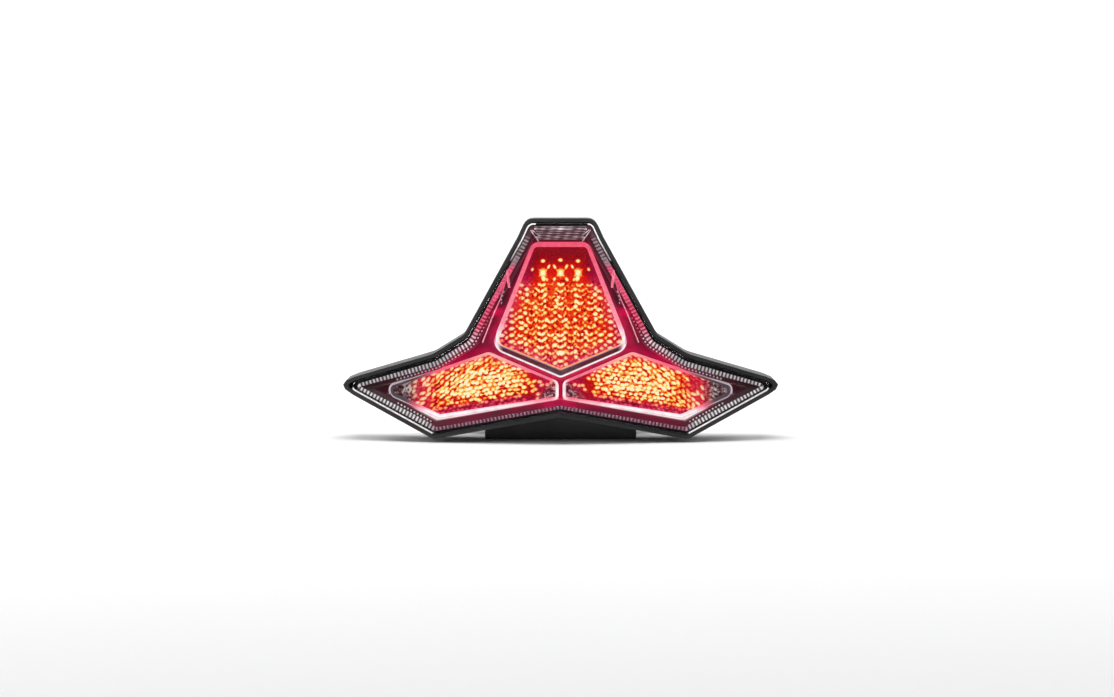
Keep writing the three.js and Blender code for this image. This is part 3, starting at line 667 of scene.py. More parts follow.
BAND_OUTER = 1.5
BAND_INNER = 4.2
RIB_PITCH = 1.95
RIB_HIGH = 0.9
RIB_STEPS = 8
RIB_SECTION = [(1, 0.15), (0.86, 0.85), (0.4, 1.0), (-0.4, 1.0), (-0.86, 0.85), (-1, 0.15)]  # across, height
RIB_CONTRAST = 0.8
BAND_THICK = 0.8
RIBS_BELOW = (102, 99)  # the band is smooth above these heights
BAND_NARROWS = [(0.34, 68, 63), (0.3, 78, 103)]  # at the foot and towards the tips: share and |x|
WING_TIP_Z = 24  # height of the wing tips: the lens's lower edges lie below it

# sRGB colours of the band's crests and valleys, by where they lie. They are painted light and shade: crests
# lighter as painted highlights, valleys darker as painted shade, pink at the stem where the pods' glow is
# painted.
HEAD_RIBS = ((0.62, 0.56, 0.58), (0.3, 0.17, 0.21))
STEM_RIBS = ((0.95, 0.36, 0.5), (0.62, 0.04, 0.2))
SHOULDER_RIBS = ((1.0, 0.93, 0.95), (0.3, 0.06, 0.14))
WING_RIBS = ((0.84, 0.81, 0.83), (0.17, 0.13, 0.15))
LOWER_RIBS = ((0.98, 0.96, 0.97), (0.2, 0.17, 0.19))
FOOT_RIBS = ((0.66, 0.46, 0.55), (0.25, 0.1, 0.16))

# Where one colour gives way to the next.
SHOULDER_X = (62, 54)
STEM_Z = (47, 55)
HEAD_Z = (84, 88)
FOOT_X = (70, 64)
LOWER_Z = (WING_TIP_Z, 23.75)
# Between these heights, and below the top, the painted shade in the valleys is evened out towards the crests'
# colour, up to a share.
EVEN_SHADE_Z = (62, 72)
EVEN_SHADE_TOP = 90
MOST_EVEN_SHADE = 0.75


def band_colour(flat, crest):
    """The band's painted light and shade at rear-view points: crest is 1 on a rib's top and 0 between ribs.
    """
    x, z = np.abs(flat[:, 0]), flat[:, 1]

    def of(level):
        colour = blended(fade(x, *SHOULDER_X), WING_RIBS[level], SHOULDER_RIBS[level])
        colour = blended(fade(z, *STEM_Z), colour, STEM_RIBS[level])
        colour = blended(fade(z, *HEAD_Z), colour, HEAD_RIBS[level])
        lower = blended(fade(x, *FOOT_X), LOWER_RIBS[level], FOOT_RIBS[level])
        return blended(fade(z, *LOWER_Z), colour, lower)

    # smooth: how far the painted shade between the ribs is evened out.
    smooth = np.minimum(fade(z, *EVEN_SHADE_Z), MOST_EVEN_SHADE) * (z < EVEN_SHADE_TOP)
    return blended(np.maximum(crest, smooth), of(1), of(0))


def walked(ring, pitch):
    """Points a fixed pitch apart along a closed ring, with the outward normals there."""
    closed = np.vstack([ring, ring[:1]])
    steps = np.linalg.norm(np.diff(closed, axis=0), axis=1)
    total = np.concatenate([[0], np.cumsum(steps)])
    count = round(total[-1] / pitch)
    places = np.arange(count) * total[-1] / count
    points = np.column_stack([np.interp(places, total, closed[:, axis]) for axis in (0, 1)])
    ahead = np.roll(points, -1, axis=0) - np.roll(points, 1, axis=0)
    ahead /= np.linalg.norm(ahead, axis=1)[:, None]
    turn = 1 if signed_area(ring) > 0 else -1
    normals = np.column_stack([ahead[:, 1], -ahead[:, 0]]) * turn
    return points, normals


def band_width(flat):
    """How wide the band is, as a share of its full width."""
    x, z = np.abs(flat[:, 0]), flat[:, 1]
    (foot_share, *foot_x), (tip_share, *tip_x) = BAND_NARROWS
    return 1 - foot_share * fade(x, *foot_x) * (z < WING_TIP_Z) - tip_share * fade(x, *tip_x)


def lens_band():
    """The corrugated optic band inside the lens's edge. It is smooth at the head, where the steps lie."""
    points, normals = walked(LENS.ring(-(BAND_OUTER + BAND_INNER) / 2), RIB_PITCH / RIB_STEPS)
    count = len(points) - len(points) % RIB_STEPS
    points, normals = points[:count], normals[:count]
    phase = np.arange(count) * 2 * math.pi / RIB_STEPS
    crest = (0.5 - 0.5 * np.cos(phase)) * fade(points[:, 1], *RIBS_BELOW)
    half = (BAND_INNER - BAND_OUTER) / 2
    width = band_width(points)[:, None]
    rings = []
    colours = []

    def add_ring(across, depth, level):
        flat = points + normals * half * (1 - (1 - across) * width)
        rings.append(lifted(flat, depth))
        colours.append(band_colour(flat, level))

    for across, high in RIB_SECTION:
        add_ring(across, BAND_DEPTH + RIB_HIGH * (1 - crest * high), crest ** RIB_CONTRAST * high)
    for across in (-1, 1):
        add_ring(across, BAND_DEPTH + RIB_HIGH + BAND_THICK, crest * 0)
    build = Builder()
    build.loft(rings, close=True)
    paint_light(lens_piece(build, "lens_rib_band", smooth=60, weld=0), np.vstack(colours))


BEAD_RADIUS = 0.5
BEAD_INSET = 5.1
BEAD_DEPTH = BAND_DEPTH + 1.3
BEAD_TOP_Z = 60
BEAD_MIN_WIDTH = 0.9  # there are no beads where the band is narrower
BEAD_LEVEL = 0.8
BEAD_SIDES = 8
BEAD_LEVELS = 3


def bead_row():
    """A row of small round beads along the band's inner edge, in the band's painted light."""
    points, _ = walked(LENS.ring(-BEAD_INSET), RIB_PITCH)
    points = points[(band_width(points) > BEAD_MIN_WIDTH) & (points[:, 1] < BEAD_TOP_Z)]
    around = [2 * math.pi * side / BEAD_SIDES for side in range(BEAD_SIDES)]
    build = Builder()
    for x, z in points:
        rings = []
        for level in range(BEAD_LEVELS):
            angle = level / BEAD_LEVELS * math.pi / 2
            radius = BEAD_RADIUS * math.cos(angle)
            flat = [(x + radius * math.cos(a), z + radius * math.sin(a)) for a in around]
            rings.append(lifted(flat, BEAD_DEPTH - BEAD_RADIUS * math.sin(angle)))
        starts = build.loft(rings)
        tip = build.add(lifted([(x, z)], BEAD_DEPTH - BEAD_RADIUS), [])
        for side in range(BEAD_SIDES):
            after = (side + 1) % BEAD_SIDES
            build.faces.append((starts[-1] + side, starts[-1] + after, tip))
        build.faces.append(tuple(starts[0] + side for side in reversed(range(BEAD_SIDES))))
    piece = lens_piece(build, "lens_beads", smooth=60, weld=0)
    flat, _ = rear_view(piece)
    paint_light(piece, band_colour(flat, np.full(len(flat), BEAD_LEVEL)))


EDGE_INSET = 0.5
EDGE_RIDGE = (0.38, 0.25, 0.4)  # half width, height and depth
# The painted highlight's colours: dim and bright.
EDGE_DARK = (0.5, 0.42, 0.45)
EDGE_BRIGHT = (1.0, 0.98, 0.98)
EDGE_HEAD_Z = (86, 100)
EDGE_WING_LEVEL = 0.9
BESIDE_HEAD = (88, 13)  # the painted highlight shows above this height and beyond this |x|
UNDER_TIP = (23.4, 66.5, 111)  # and below this height between these |x|


def painted_edge_highlights():
    """Painted highlights on the lens's edge, as thin raised lines that glow: beside the head and under the
    wing tips.
    """
    ring = LENS.ring(-EDGE_INSET)
    x, z = np.abs(ring[:, 0]), ring[:, 1]
    beside_head = (z > BESIDE_HEAD[0]) & (x > BESIDE_HEAD[1])
    under_tip = (z < UNDER_TIP[0]) & (x > UNDER_TIP[1]) & (x < UNDER_TIP[2])
    build = Builder()
    run = []
    for point, lit in zip(ring, beside_head | under_tip):
        if lit:
            run.append(point)
        elif run:
            build.ridge(run, *EDGE_RIDGE)
            run = []
    if len(run) > 1:
        build.ridge(run, *EDGE_RIDGE)
    piece = lens_piece(build, "lens_edge_highlights", smooth=50)
    z = rear_view(piece)[0][:, 1]
    strength = np.where(z > APEX_Z, fade(z, *EDGE_HEAD_Z), EDGE_WING_LEVEL)
    paint_light(piece, blended(strength, EDGE_DARK, EDGE_BRIGHT))


# The head's prisms: z, half length and half width of each line.
STEP_LINES = [
    (106.2, 14.0, 0.22),
    (105.1, 14.3, 0.5),
    (103.9, 13.4, 0.2),
    (102.8, 13.6, 0.32),
    (101.7, 12.4, 0.2),
    (100.8, 13.9, 0.3),
    (99.8, 12.8, 0.22),
]
STEP_POINTS = 41
STEP_RAISE = (0.6, BAND_DEPTH + 1.0)  # height and depth
SLANTS = [(15.6, 3.6), (16.4, 6.2)]  # |x| at the top and the drop of each slanting line at the ends
SLANT_TOP = 104.6
SLANT_RUN = 4.6
SLANT_POINTS = 8
SLANT_RIDGE = (0.25, 0.5, BAND_DEPTH + 0.9)
# The prisms' painted glints run from the dark colour to the bright one.
STEP_DARK = (0.34, 0.25, 0.28)
STEP_BRIGHT = (0.98, 0.92, 0.94)


def step_brightness(x, z):
    """Uneven glints, brighter in the middle of the upper lines and at the ends."""
    uneven = 0.3 + 0.4 * np.cos(x * 0.9 + z * 1.7) * np.cos(x * 0.37 - z * 2.3)
    middle = 0.5 * mound((x, 0, 4.5), power=2) * (z > 104)
    return uneven + middle + 0.45 * fade(np.abs(x), 11, 15)


def head_steps():
    """The stepped prisms at the lens's head, with slanting ones at each end, in painted glints."""
    build = Builder()
    for z, reach, half in STEP_LINES:
        build.ridge([(x, z) for x in np.linspace(-reach, reach, STEP_POINTS)], half, *STEP_RAISE)
    for sign in (-1, 1):
        for start, drop in SLANTS:
            along = np.linspace(0, 1, SLANT_POINTS)
            slant = [(sign * (start - SLANT_RUN * t), SLANT_TOP - drop * t) for t in along]
            build.ridge(slant, *SLANT_RIDGE)
    piece = lens_piece(build, "lens_head_steps", smooth=50)
    flat, _ = rear_view(piece)
    paint_light(piece, blended(step_brightness(flat[:, 0], flat[:, 1]), STEP_DARK, STEP_BRIGHT))


CREASE = [(29.5, 77.4), (32.0, 68.9), (35.2, 61.8), (38.1, 54.5), (41.2, 46.5)]
CREASE_HALF = 0.3
CREASE_RAISE = (0.8, BAND_DEPTH + 0.7)  # height and depth
FORK = [(28.6, 83.6), (28.4, 80.6), (28.0, 77.6), (27.5, 74.4)]
FORK_HALF = 0.65
WINDOW_FLECKS = [(30.2, 72.6), (30.9, 70.6), (31.4, 68.6), (31.3, 66.9)]
FLECK_FALL = (0.3, -0.8)
# Colours of painted light: pink where the pods' glow catches the lines, pale grey for the flecks' painted
# highlights.
CREASE_TOP = (0.8, 0.25, 0.4)
CREASE_FOOT = (0.98, 0.6, 0.66)
CREASE_FADE_Z = (76, 62)
FORK_LIGHT = (0.93, 0.38, 0.5)
FLECK_LIGHT = (0.7, 0.64, 0.66)


def crease_piece(name, lines, half, colour_of):
    """Thin raised lines on the lens's inner side, the same on the left and on the right, in painted light."""
    build = Builder()
    for line in lines:
        for sign in (-1, 1):
            build.ridge([(sign * x, z) for x, z in line], half, *CREASE_RAISE)
    piece = lens_piece(build, name, smooth=50)
    paint_light(piece, colour_of(rear_view(piece)[0]))


def crease_light(flat):
    return blended(fade(flat[:, 1], *CREASE_FADE_Z), CREASE_TOP, CREASE_FOOT)


def creases():
    """The crease and the fork beside the centre pod, and the bright flecks between them and the pod, in
    painted light.
    """
    crease_piece("lens_creases", [CREASE], CREASE_HALF, crease_light)
    crease_piece("lens_forks", [FORK], FORK_HALF, lambda flat: tiled(FORK_LIGHT, flat))
    across, down = FLECK_FALL
    flecks = [[(x, z), (x + across, z + down)] for x, z in WINDOW_FLECKS]
    crease_piece("lens_flecks", flecks, CREASE_HALF, lambda flat: tiled(FLECK_LIGHT, flat))


# ---- bezel

# The panel's section: how far in from the lens's outline, and how deep.
BEZEL_PROFILE = [
    (2.8, BEZEL_DEPTH),
    (2.8, CURB_DEPTH + 0.6),
    (3.3, CURB_DEPTH),
    (5.6, CURB_DEPTH - 0.3),
    (6.2, CURB_DEPTH + 0.2),
    (6.6, BEZEL_DEPTH - 0.8),
    (7.1, BEZEL_DEPTH),
]
BEZEL_PITCH = 1.7
BEZEL_THICK = 0.0012
POD_OVERLAP = 0.6

# The light that the pods throw on the panel.
PANEL_LIGHT = 0.98
LIGHT_REACH = 7.0
TIPS_DIM = (0.9, 55, 83)  # share lost, and the |x| or z over which it goes
HEAD_DIM = (0.75, 58, 82)
LOWER_DIM = (0.6, 18, 12)
NOTCH_HALF = 8
WINDOW = ((31, 2.4), (69.5, 4.5))  # a window beside the centre pod, dark with less painted light: middle and half width in |x| and z
WINDOW_DIM = 0.75
PATCH = ((34.4, 2.6), (61.4, 1.9))  # and a bright patch of more painted light under it
PATCH_LIGHT = 0.7


def bezel_light(flat):
    """How brightly the pods light the panel at rear-view points."""
    x, z = np.abs(flat[:, 0]), flat[:, 1]
    reach = np.min([distance_to(flat, foot.ring()) for foot, *_ in PODS.values()], axis=0)
    light = PANEL_LIGHT * np.exp(-reach / LIGHT_REACH) * dimmed(x, *TIPS_DIM) * dimmed(z, *HEAD_DIM)
    light *= np.where(x > NOTCH_HALF, dimmed(z, *LOWER_DIM), 1)
    light *= 1 - WINDOW_DIM * mound((x, *WINDOW[0]), (z, *WINDOW[1]))
    return np.clip(light + PATCH_LIGHT * mound((x, *PATCH[0]), (z, *PATCH[1])), 0, 1)


def bezel():
    """The plum panel: a curb under the ribbed band, then a floor with a hole for each pod."""
    build = Builder()
    build.loft([lifted(LENS.ring(-inset), depth) for inset, depth in BEZEL_PROFILE])
    holes = [foot.ring(-POD_OVERLAP) for foot, *_ in PODS.values()]
    floor = LENS.ring(-BEZEL_PROFILE[-1][0])
    build.sheet(floor, holes, BEZEL_PITCH, lambda flat: lifted(flat, BEZEL_DEPTH))
    piece = build.make("bezel_panel", PLUM, "bezel", "plum_bezel", smooth=30)
    paint(piece, "glow", bezel_light(rear_view(piece)[0]))
    thicken(piece, BEZEL_THICK)


# ---- pods

# The frames' colours. WHITE and CLEAR_LINE are painted highlights, SHADE is painted shade, and the pinks,
# crimson, amber and ember are the pods' glow.
PINK = (0.95, 0.34, 0.45)
PALE_PINK = (1.0, 0.66, 0.71)
WHITE = (1.0, 0.95, 0.96)
MAUVE = (0.66, 0.5, 0.6)
CRIMSON = (0.55, 0.0, 0.18)
SHADE = (0.26, 0.03, 0.12)
AMBER = (1.0, 0.66, 0.2)
EMBER = (0.72, 0.12, 0.08)
CLEAR_GREY = (0.3, 0.25, 0.28)
CLEAR_LINE = (0.82, 0.77, 0.8)
WING_PINK = (0.96, 0.4, 0.5)
WING_WARM = (1.0, 0.64, 0.62)

# A frame's section: what each ring is, its place (0 foot, 1 top, 2 inner outline), how far out, its depth.
FRAME_PROFILE = [
    ("under", 0.0, -2.6, BEZEL_DEPTH - 0.2),
    ("flange", 0.0, 0.45, BEZEL_DEPTH - 0.2),
    ("flange", 0.0, 0.45, BEZEL_DEPTH - 0.7),
    ("flange", 0.05, 0.0, BEZEL_DEPTH - 0.9),
    ("groove", 0.18, -0.1, BEZEL_DEPTH - 1.2),
    ("groove", 0.4, 0.0, BEZEL_DEPTH - 2.0),
    ("wall", 0.45, 0.0, BEZEL_DEPTH - 2.2),
    ("wall", 0.92, 0.0, POD_TOP + 1.1),
    ("shoulder", 1.0, 0.0, POD_TOP + 0.7),
    ("shoulder", 1.08, 0.0, POD_TOP + 0.2),
    ("face", 1.25, 0.0, POD_TOP),
    ("face", 1.5, 0.0, POD_TOP),
    ("edge", 1.66, 0.0, POD_TOP),
    ("lip", 1.92, 0.0, POD_TOP + 0.25),
    ("lip", 1.98, 0.0, POD_TOP + 0.9),
    ("inner", 2.0, 0.0, LATTICE_DEPTH + 1.6),
]
FOOT_ROLES = ("under", "flange", "groove")

# The painted light and shade of each ring along a frame's lower edges.
CENTRE_LOWER = {
    "under": CRIMSON,
    "flange": WHITE,
    "groove": SHADE,
    "wall": SHADE,
    "shoulder": MAUVE,
    "face": MAUVE,
    "edge": AMBER,
    "lip": AMBER,
    "inner": EMBER,
}
WING_LOWER = {
    "under": CRIMSON,
    "flange": (0.95, 0.6, 0.7),
    "groove": WHITE,
    "wall": WHITE,
    "shoulder": (1.0, 0.76, 0.82),
    "face": WHITE,
    "edge": WHITE,
    "lip": (1.0, 0.86, 0.9),
    "inner": (0.95, 0.5, 0.62),
}

# Where one colour gives way to the next along a frame.
CENTRE_PALE_Z = (92, 44)
CENTRE_WHITE_Z = (56, 49)
CENTRE_FOOT_WHITE_Z = (50, 45)
CENTRE_LOWER_X = (33.5, 30.5)
CENTRE_LOWER_TOP = 50
WING_WARM_X = (34, 14)
WING_LOWER_Z = (19, 16)
WING_LOWER_FALL = 0.07
WING_INNER_X = (5, 2)
WING_CLEAR_X = (72, 80)
WING_CLEAR_LEAN = 0.5
WING_MIDDLE_Z = 20


def centre_frame_light(role, flat):
    """Painted light: pink at the head and sides, white highlights at the lower corners, and along the lower
    edges amber, mauve and painted shade.
    """
    x, z = np.abs(flat[:, 0]), flat[:, 1]
    if role in FOOT_ROLES:
        colour = blended(fade(z, *CENTRE_FOOT_WHITE_Z), tiled(CRIMSON, flat), WHITE)
    else:
        colour = blended(fade(z, *CENTRE_PALE_Z), PINK, PALE_PINK)
        colour = blended(fade(z, *CENTRE_WHITE_Z), colour, WHITE)
    return blended(fade(x, *CENTRE_LOWER_X) * (z < CENTRE_LOWER_TOP), colour, CENTRE_LOWER[role])


def wing_frame_light(role, flat):
    """Painted light: pink along the upper edge, near white highlights along the lower one, clear grey with
    pale painted highlights round the outer end.
    """
    x, z = np.abs(flat[:, 0]), flat[:, 1]
    upper = tiled(CRIMSON, flat)
    if role not in FOOT_ROLES:
        upper = blended(mound((x, *WING_WARM_X), power=2), WING_PINK, WING_WARM)
    colour = blended(fade(z + WING_LOWER_FALL * x, *WING_LOWER_Z), upper, WING_LOWER[role])
    if role not in FOOT_ROLES:
        end = WHITE if role in ("shoulder", "face", "edge") else PALE_PINK
        colour = blended(fade(x, *WING_INNER_X), colour, end)
    line = CLEAR_LINE if role in ("shoulder", "flange") else CLEAR_GREY
    return blended(fade(x + (z - WING_MIDDLE_Z) * WING_CLEAR_LEAN, *WING_CLEAR_X), colour, line)


def pod_ring(side, place, out, depth):
    """A ring of a pod's frame, between its foot, top and inner outlines."""
    *outlines, surface = PODS[side]
    first = min(int(place), 1)
    share = place - first
    flat = outlines[first].ring(out) * (1 - share) + outlines[first + 1].ring(out) * share
    return flat, lifted(flat, depth, surface)


def pod_frame(side):
    """The raised frame of a pod, with its side walls and the bead round its foot, in painted light and shade.
    """
    light = centre_frame_light if side == "centre" else wing_frame_light
    rings = []
    colours = []
    for role, place, out, depth in FRAME_PROFILE:
        flat, ring = pod_ring(side, place, out, depth)
        rings.append(ring)
        colours.append(light(role, flat))
    build = Builder()
    build.loft(rings, close=True)
    piece = build.make(f"{side}_pod_frame", RIM, f"{side}_pod_lens", "red_pod_lens", smooth=40, weld=0)
    paint_light(piece, np.vstack(colours))


PANE_FRONT = POD_TOP + 0.9
PANE_BACK = POD_TOP + 2.0
PANE_OVERLAP = 0.1
PANE_PITCH = 2.4


def pod_pane(side):
    """The clear face of a pod."""
    *_, inner, surface = PODS[side]
    edge = inner.ring(PANE_OVERLAP)
    build = Builder()
    build.loft([lifted(edge, depth, surface) for depth in (PANE_FRONT, PANE_BACK)])
    build.sheet(edge, [], PANE_PITCH, lambda flat: lifted(flat, PANE_FRONT, surface))
    build.sheet(edge, [], PANE_PITCH, lambda flat: lifted(flat, PANE_BACK, surface), flip=True)
    piece = build.make(f"{side}_pod_pane", PANE, f"{side}_pod_lens", "red_pod_lens", smooth=30)
    paint_skin(piece, lambda x, z: surface(x, z) + PANE_FRONT, PANE_BACK - PANE_FRONT)


# ---- lit lattices
# A mark is one bright stroke: x, z, brightness, half length, half width and angle in degrees. A pit is a dark
# one, with its darkness for a brightness.

LATTICE_PITCH = 0.36
LATTICE_THICK = 0.0008
LATTICE_OVERLAP = 0.4
CELL_BUMP = 0.9
NO_PITS_ABOVE = 1.1  # the brightest marks stay whole
MARK_REACH = 2.2  # how far a mark shows, in half lengths
MARK_SHARPNESS = 1.4
MARK_SLIM = 0.56  # half width of a slim mark, as a share of its size or its row

CELL_WIDE = 5.26
CELL_HIGH = 3.16
CELL_FOOT = 31
CELL_TOP = 76.4
CELL_COLUMNS = 14
CELL_ROWS = 24
CELL_JITTER = (0.5, 0.4)
CHEVRON_HALF = 19  # the cells are chevrons up to this |x|
CHEVRON_SIZE = (1.35, 1.7)
CHEVRON_REACH = 0.6
CHEVRON_RISE = 0.4
CHEVRON_TILT = 35
CHEVRON_UNEVEN = (0.85, 1.05)
DOT_SIZE = (1.3, 1.8)
DOT_HALF = 1.2
DOT_TILT = 70
BAR_SIZE = (1.9, 2.3)
BAR_HALF = 1.15
BAR_TILT = 16
SIDE_DOT = (1.3, 0.95)
SIDE_DOT_TILT = 60
SIDE_CONTRAST = 0.06

# The marks that each of the three upper LEDs makes, without their x.
LED_SPACING = 9.5
HOT_SPOT_X = (-LED_SPACING, 0, LED_SPACING)
HOT_SPOT = [
    (81.8, 1.12, 2.3, 1.9, 90),
    (81.8, 0.84, 3.3, 2.7, 90),
    (81.8, 0.93, 3.6, 1.0, 40),
    (81.8, 0.93, 3.6, 1.0, 140),
    (75.4, 0.98, 1.3, 1.0, 0),
]
MIDDLE_MARKS = [(0, 88.5, 1.02, 1.5, 1.1, 0), (0, 41, 1.3, 2.7, 1.6, 0), (0, 37.0, 1.1, 2.4, 1.0, 0)]
PAIRED_MARKS = [
    (9.5, 88.0, 1.02, 1.5, 1.1, 0),
    (3.2, 85.0, 1.02, 1.7, 0.9, 60),
    (6.4, 85.0, 1.02, 1.6, 0.85, -60),
    (3.4, 78.5, 1.02, 1.5, 1.0, -50),
    (7.4, 78.4, 0.95, 1.3, 0.9, 50),
    (9.2, 79.0, 1.12, 2.0, 1.4, 70),
    (15.2, 83.6, 0.94, 1.2, 0.9, -60),
]


def swing(most):
    """A random amount either way."""
    return dice.uniform(-most, most)


def chevron(x, z, power, size):
    """Two marks that meet in a V."""
    reach = size * CHEVRON_REACH
    rise = reach * CHEVRON_RISE
    marks = []
    for side in (-1, 1):
        light = power * dice.uniform(*CHEVRON_UNEVEN)
        marks.append((x + side * reach, z + rise, light, size, size * MARK_SLIM, side * CHEVRON_TILT))
    return marks


def cell_power(x, z):
    """A centre cell's brightness: more under the LEDs, less at the foot, and uneven from cell to cell."""
    under_led = 0.5 + 0.5 * math.cos(2 * math.pi * x / LED_SPACING)
    middle = mound((x, 0, 27))
    power = 0.87 + 0.12 * under_led * middle + 0.08 * middle + dice.uniform(-0.26, 0.16)
    power -= 0.24 * fade(abs(x), 12, 0) * fade(z, 44, CELL_FOOT)
    power += 0.3 * (under_led - 0.6) * middle * fade(z, 56, 70)
    return power + 0.05 * fade(abs(z - 46), 10, 0)


def centre_cell(column, x, z):
    """One cell of the centre lattice: a chevron or dot in the middle columns, a bar or dot at the sides."""
    power = cell_power(x, z)
    middle = abs(x) < CHEVRON_HALF
    if column % 2 == 0 and middle:
        return chevron(x, z, power, dice.uniform(*CHEVRON_SIZE))
    if middle:
        return [(x, z, power, dice.uniform(*DOT_SIZE), DOT_HALF, swing(DOT_TILT))]
    if column % 2 == 0:
        return [(x, z, power + SIDE_CONTRAST, dice.uniform(*BAR_SIZE), BAR_HALF, swing(BAR_TILT))]
    return [(x, z, power - SIDE_CONTRAST, *SIDE_DOT, swing(SIDE_DOT_TILT))]


def centre_marks():
    """The centre pod's marks: staggered columns of cells, three hot spots at the head and two at the foot."""
    marks = []
    for column in range(-CELL_COLUMNS, CELL_COLUMNS + 1):
        x = column * CELL_WIDE / 2
        for row in range(CELL_ROWS):
            z = CELL_FOOT + (row + 0.5 * (column % 2)) * CELL_HIGH
            if z <= CELL_TOP:
                marks += centre_cell(column, x + swing(CELL_JITTER[0]), z + swing(CELL_JITTER[1]))
    marks += [(x, *mark) for x in HOT_SPOT_X for mark in HOT_SPOT]
    for x, *mark, angle in PAIRED_MARKS:
        marks += [(sign * x, *mark, sign * angle) for sign in (-1, 1)]
    return marks + MIDDLE_MARKS


PIT_HALF = 0.5
CENTRE_PITS = 170
CENTRE_PIT_X = 22
CENTRE_PIT_Z = (38, 78)
CENTRE_PIT_DARK = (0.35, 0.8)
CENTRE_PIT_SIZE = (0.6, 1.0)


def centre_pits():
    """Small dark pits scattered between the centre pod's marks."""
    pits = []
    for _ in range(CENTRE_PITS):
        x, z = swing(CENTRE_PIT_X), dice.uniform(*CENTRE_PIT_Z)
        dark, size = dice.uniform(*CENTRE_PIT_DARK), dice.uniform(*CENTRE_PIT_SIZE)
        pits.append((x, z, dark, size, PIT_HALF, dice.uniform(0, 180)))
    return pits


WING_CENTRE = (42, 30)  # the point that both sets of rows are laid out from
WING_X = 40  # where a wing's slanting middle line has its stated height
WING_SLANT = 0.17
WING_DIAGONAL = (0.84, 66.5)  # cells beyond z + 0.84 x = 66.5 run along that line
WING_FALL = -9.6
DIAGONAL_FALL = -40.0
INNER_END = 19  # below this |x| most cells are dark
OUTER_END = 69  # and beyond this one many are
WING_COLUMNS = 40
WING_LINES = 30
WING_WINDOW = ((2, 90), (4, 42))  # the |x| and z that the rows are cut to
WING_JITTER = (0.6, 0.4)
WING_UNEVEN = (0.85, 1.2)
WING_SWING = 28
WING_PITS = 150
WING_PIT_X = (20, 66)
WING_PIT_Z = (14, 34)
WING_PIT_DARK = (0.3, 0.75)
WING_PIT_SIZE = (0.8, 1.6)

# Each set of rows: its angle, if it is beyond the diagonal, the pitch of its cells and of its rows, and a
# cell's half length as a share of its pitch.
WING_ROWS = [(WING_FALL, False, 2.5, 2.05, 0.64), (DIAGONAL_FALL, True, 3.3, 1.95, 0.66)]


def in_window(x, z):
    return all(low < value < high for value, (low, high) in zip((x, z), WING_WINDOW))


def beyond_diagonal(x, z):
    slope, height = WING_DIAGONAL
    return z + slope * x > height


def wing_power(x, z, chance):
    """A wing cell's brightness, with chance running from 0 to 1."""
    if x > OUTER_END:
        return 0.96 if chance > 0.4 else 0.5
    if x < INNER_END:
        return 0.86 if chance > 0.55 + (INNER_END - x) / 50 else 0.3
    core = mound((x, WING_X, 23), (z + WING_SLANT * (x - WING_X), 26, 9.5))
    return 0.74 + 0.48 * core + 0.4 * (chance - 0.5)


def wing_marks():
    """The right wing pod's marks: rows along its lower edge, then rows along a diagonal."""
    marks = []
    for angle, beyond, along, across, length in WING_ROWS:
        cos, sin = math.cos(math.radians(angle)), math.sin(math.radians(angle))
        for i in range(-WING_COLUMNS, WING_COLUMNS):
            for j in range(-WING_LINES, WING_LINES):
                u = (i + 0.5 * (j % 2)) * along + swing(WING_JITTER[0])
                v = j * across + swing(WING_JITTER[1])
                chance = dice.random()
                x = WING_CENTRE[0] + u * cos - v * sin
                z = WING_CENTRE[1] + u * sin + v * cos
                if in_window(x, z) and beyond_diagonal(x, z) == beyond:
                    size = (along * length * dice.uniform(*WING_UNEVEN), across * MARK_SLIM)
                    marks.append((x, z, wing_power(x, z, chance), *size, angle + swing(WING_SWING)))
    return marks


def wing_pits():
    """Short dark dashes between the right wing's marks."""
    pits = []
    for _ in range(WING_PITS):
        x = dice.uniform(*WING_PIT_X)
        z = dice.uniform(*WING_PIT_Z) - WING_SLANT * (x - WING_X)
        slope = DIAGONAL_FALL if beyond_diagonal(x, z) else WING_FALL
        pits.append((x, z, dice.uniform(*WING_PIT_DARK), dice.uniform(*WING_PIT_SIZE), PIT_HALF, slope))
    return pits


def lattice_grid(edge):
    """A square grid inside a ring: rear-view points and quads."""
    grid, wide = square_grid(edge, LATTICE_PITCH, beyond=LATTICE_PITCH)
    keep = inside(grid, edge)
    index = -np.ones(len(grid), int)
    index[keep] = np.arange(keep.sum())
    quads = []
    for a in range(len(grid) - wide):
        corners = [index[a], index[a + 1], index[a + wide + 1], index[a + wide]] if (a + 1) % wide else [-1]
        if min(corners) >= 0:
            quads.append(tuple(corners))
    return grid[keep], quads


def mark_light(flat, marks, mirror):
    """The strength of the strongest mark at each point."""
    best = np.zeros(len(flat))
    for x, z, power, long, short, angle in marks:
        dx, dz = flat[:, 0] * mirror - x, flat[:, 1] - z
        reach = np.flatnonzero((np.abs(dx) < MARK_REACH * long) & (np.abs(dz) < MARK_REACH * long))
        dx, dz = dx[reach], dz[reach]
        cos, sin = math.cos(math.radians(angle)), math.sin(math.radians(angle))
        along = (dx * cos + dz * sin) / long
        across = (dz * cos - dx * sin) / short
        fall = np.exp(-((along ** 2 + across ** 2) ** MARK_SHARPNESS))
        best[reach] = np.maximum(best[reach], power * fall)
    return best


def centre_glow(x, z, margin, light):
    """Brightness of the centre lattice, its magenta share, and how much of it is lit."""
    haze = 0.2 + 0.28 * mound((x, 0, 30), power=6) * fade(z, 82, 74)
    haze += 0.2 * mound((x, 0, 14), power=6) * mound((z, 82, 6), power=2)
    haze -= 0.14 * mound((x, 0, 9), (z, 33, 9), power=2)
    rim = np.clip(1.2 * np.exp(-margin / 3.4) - 0.12, 0, 1) * fade(z, 84, 58)
    foot = 0.5 * fade(z, 48, 36) * (light < 0.9)
    sides = 0.8 * fade(x, 14, 18) * fade(z, 68, 78)
    return np.maximum(light, haze), np.max([rim, foot, sides], axis=0), np.ones(len(x))


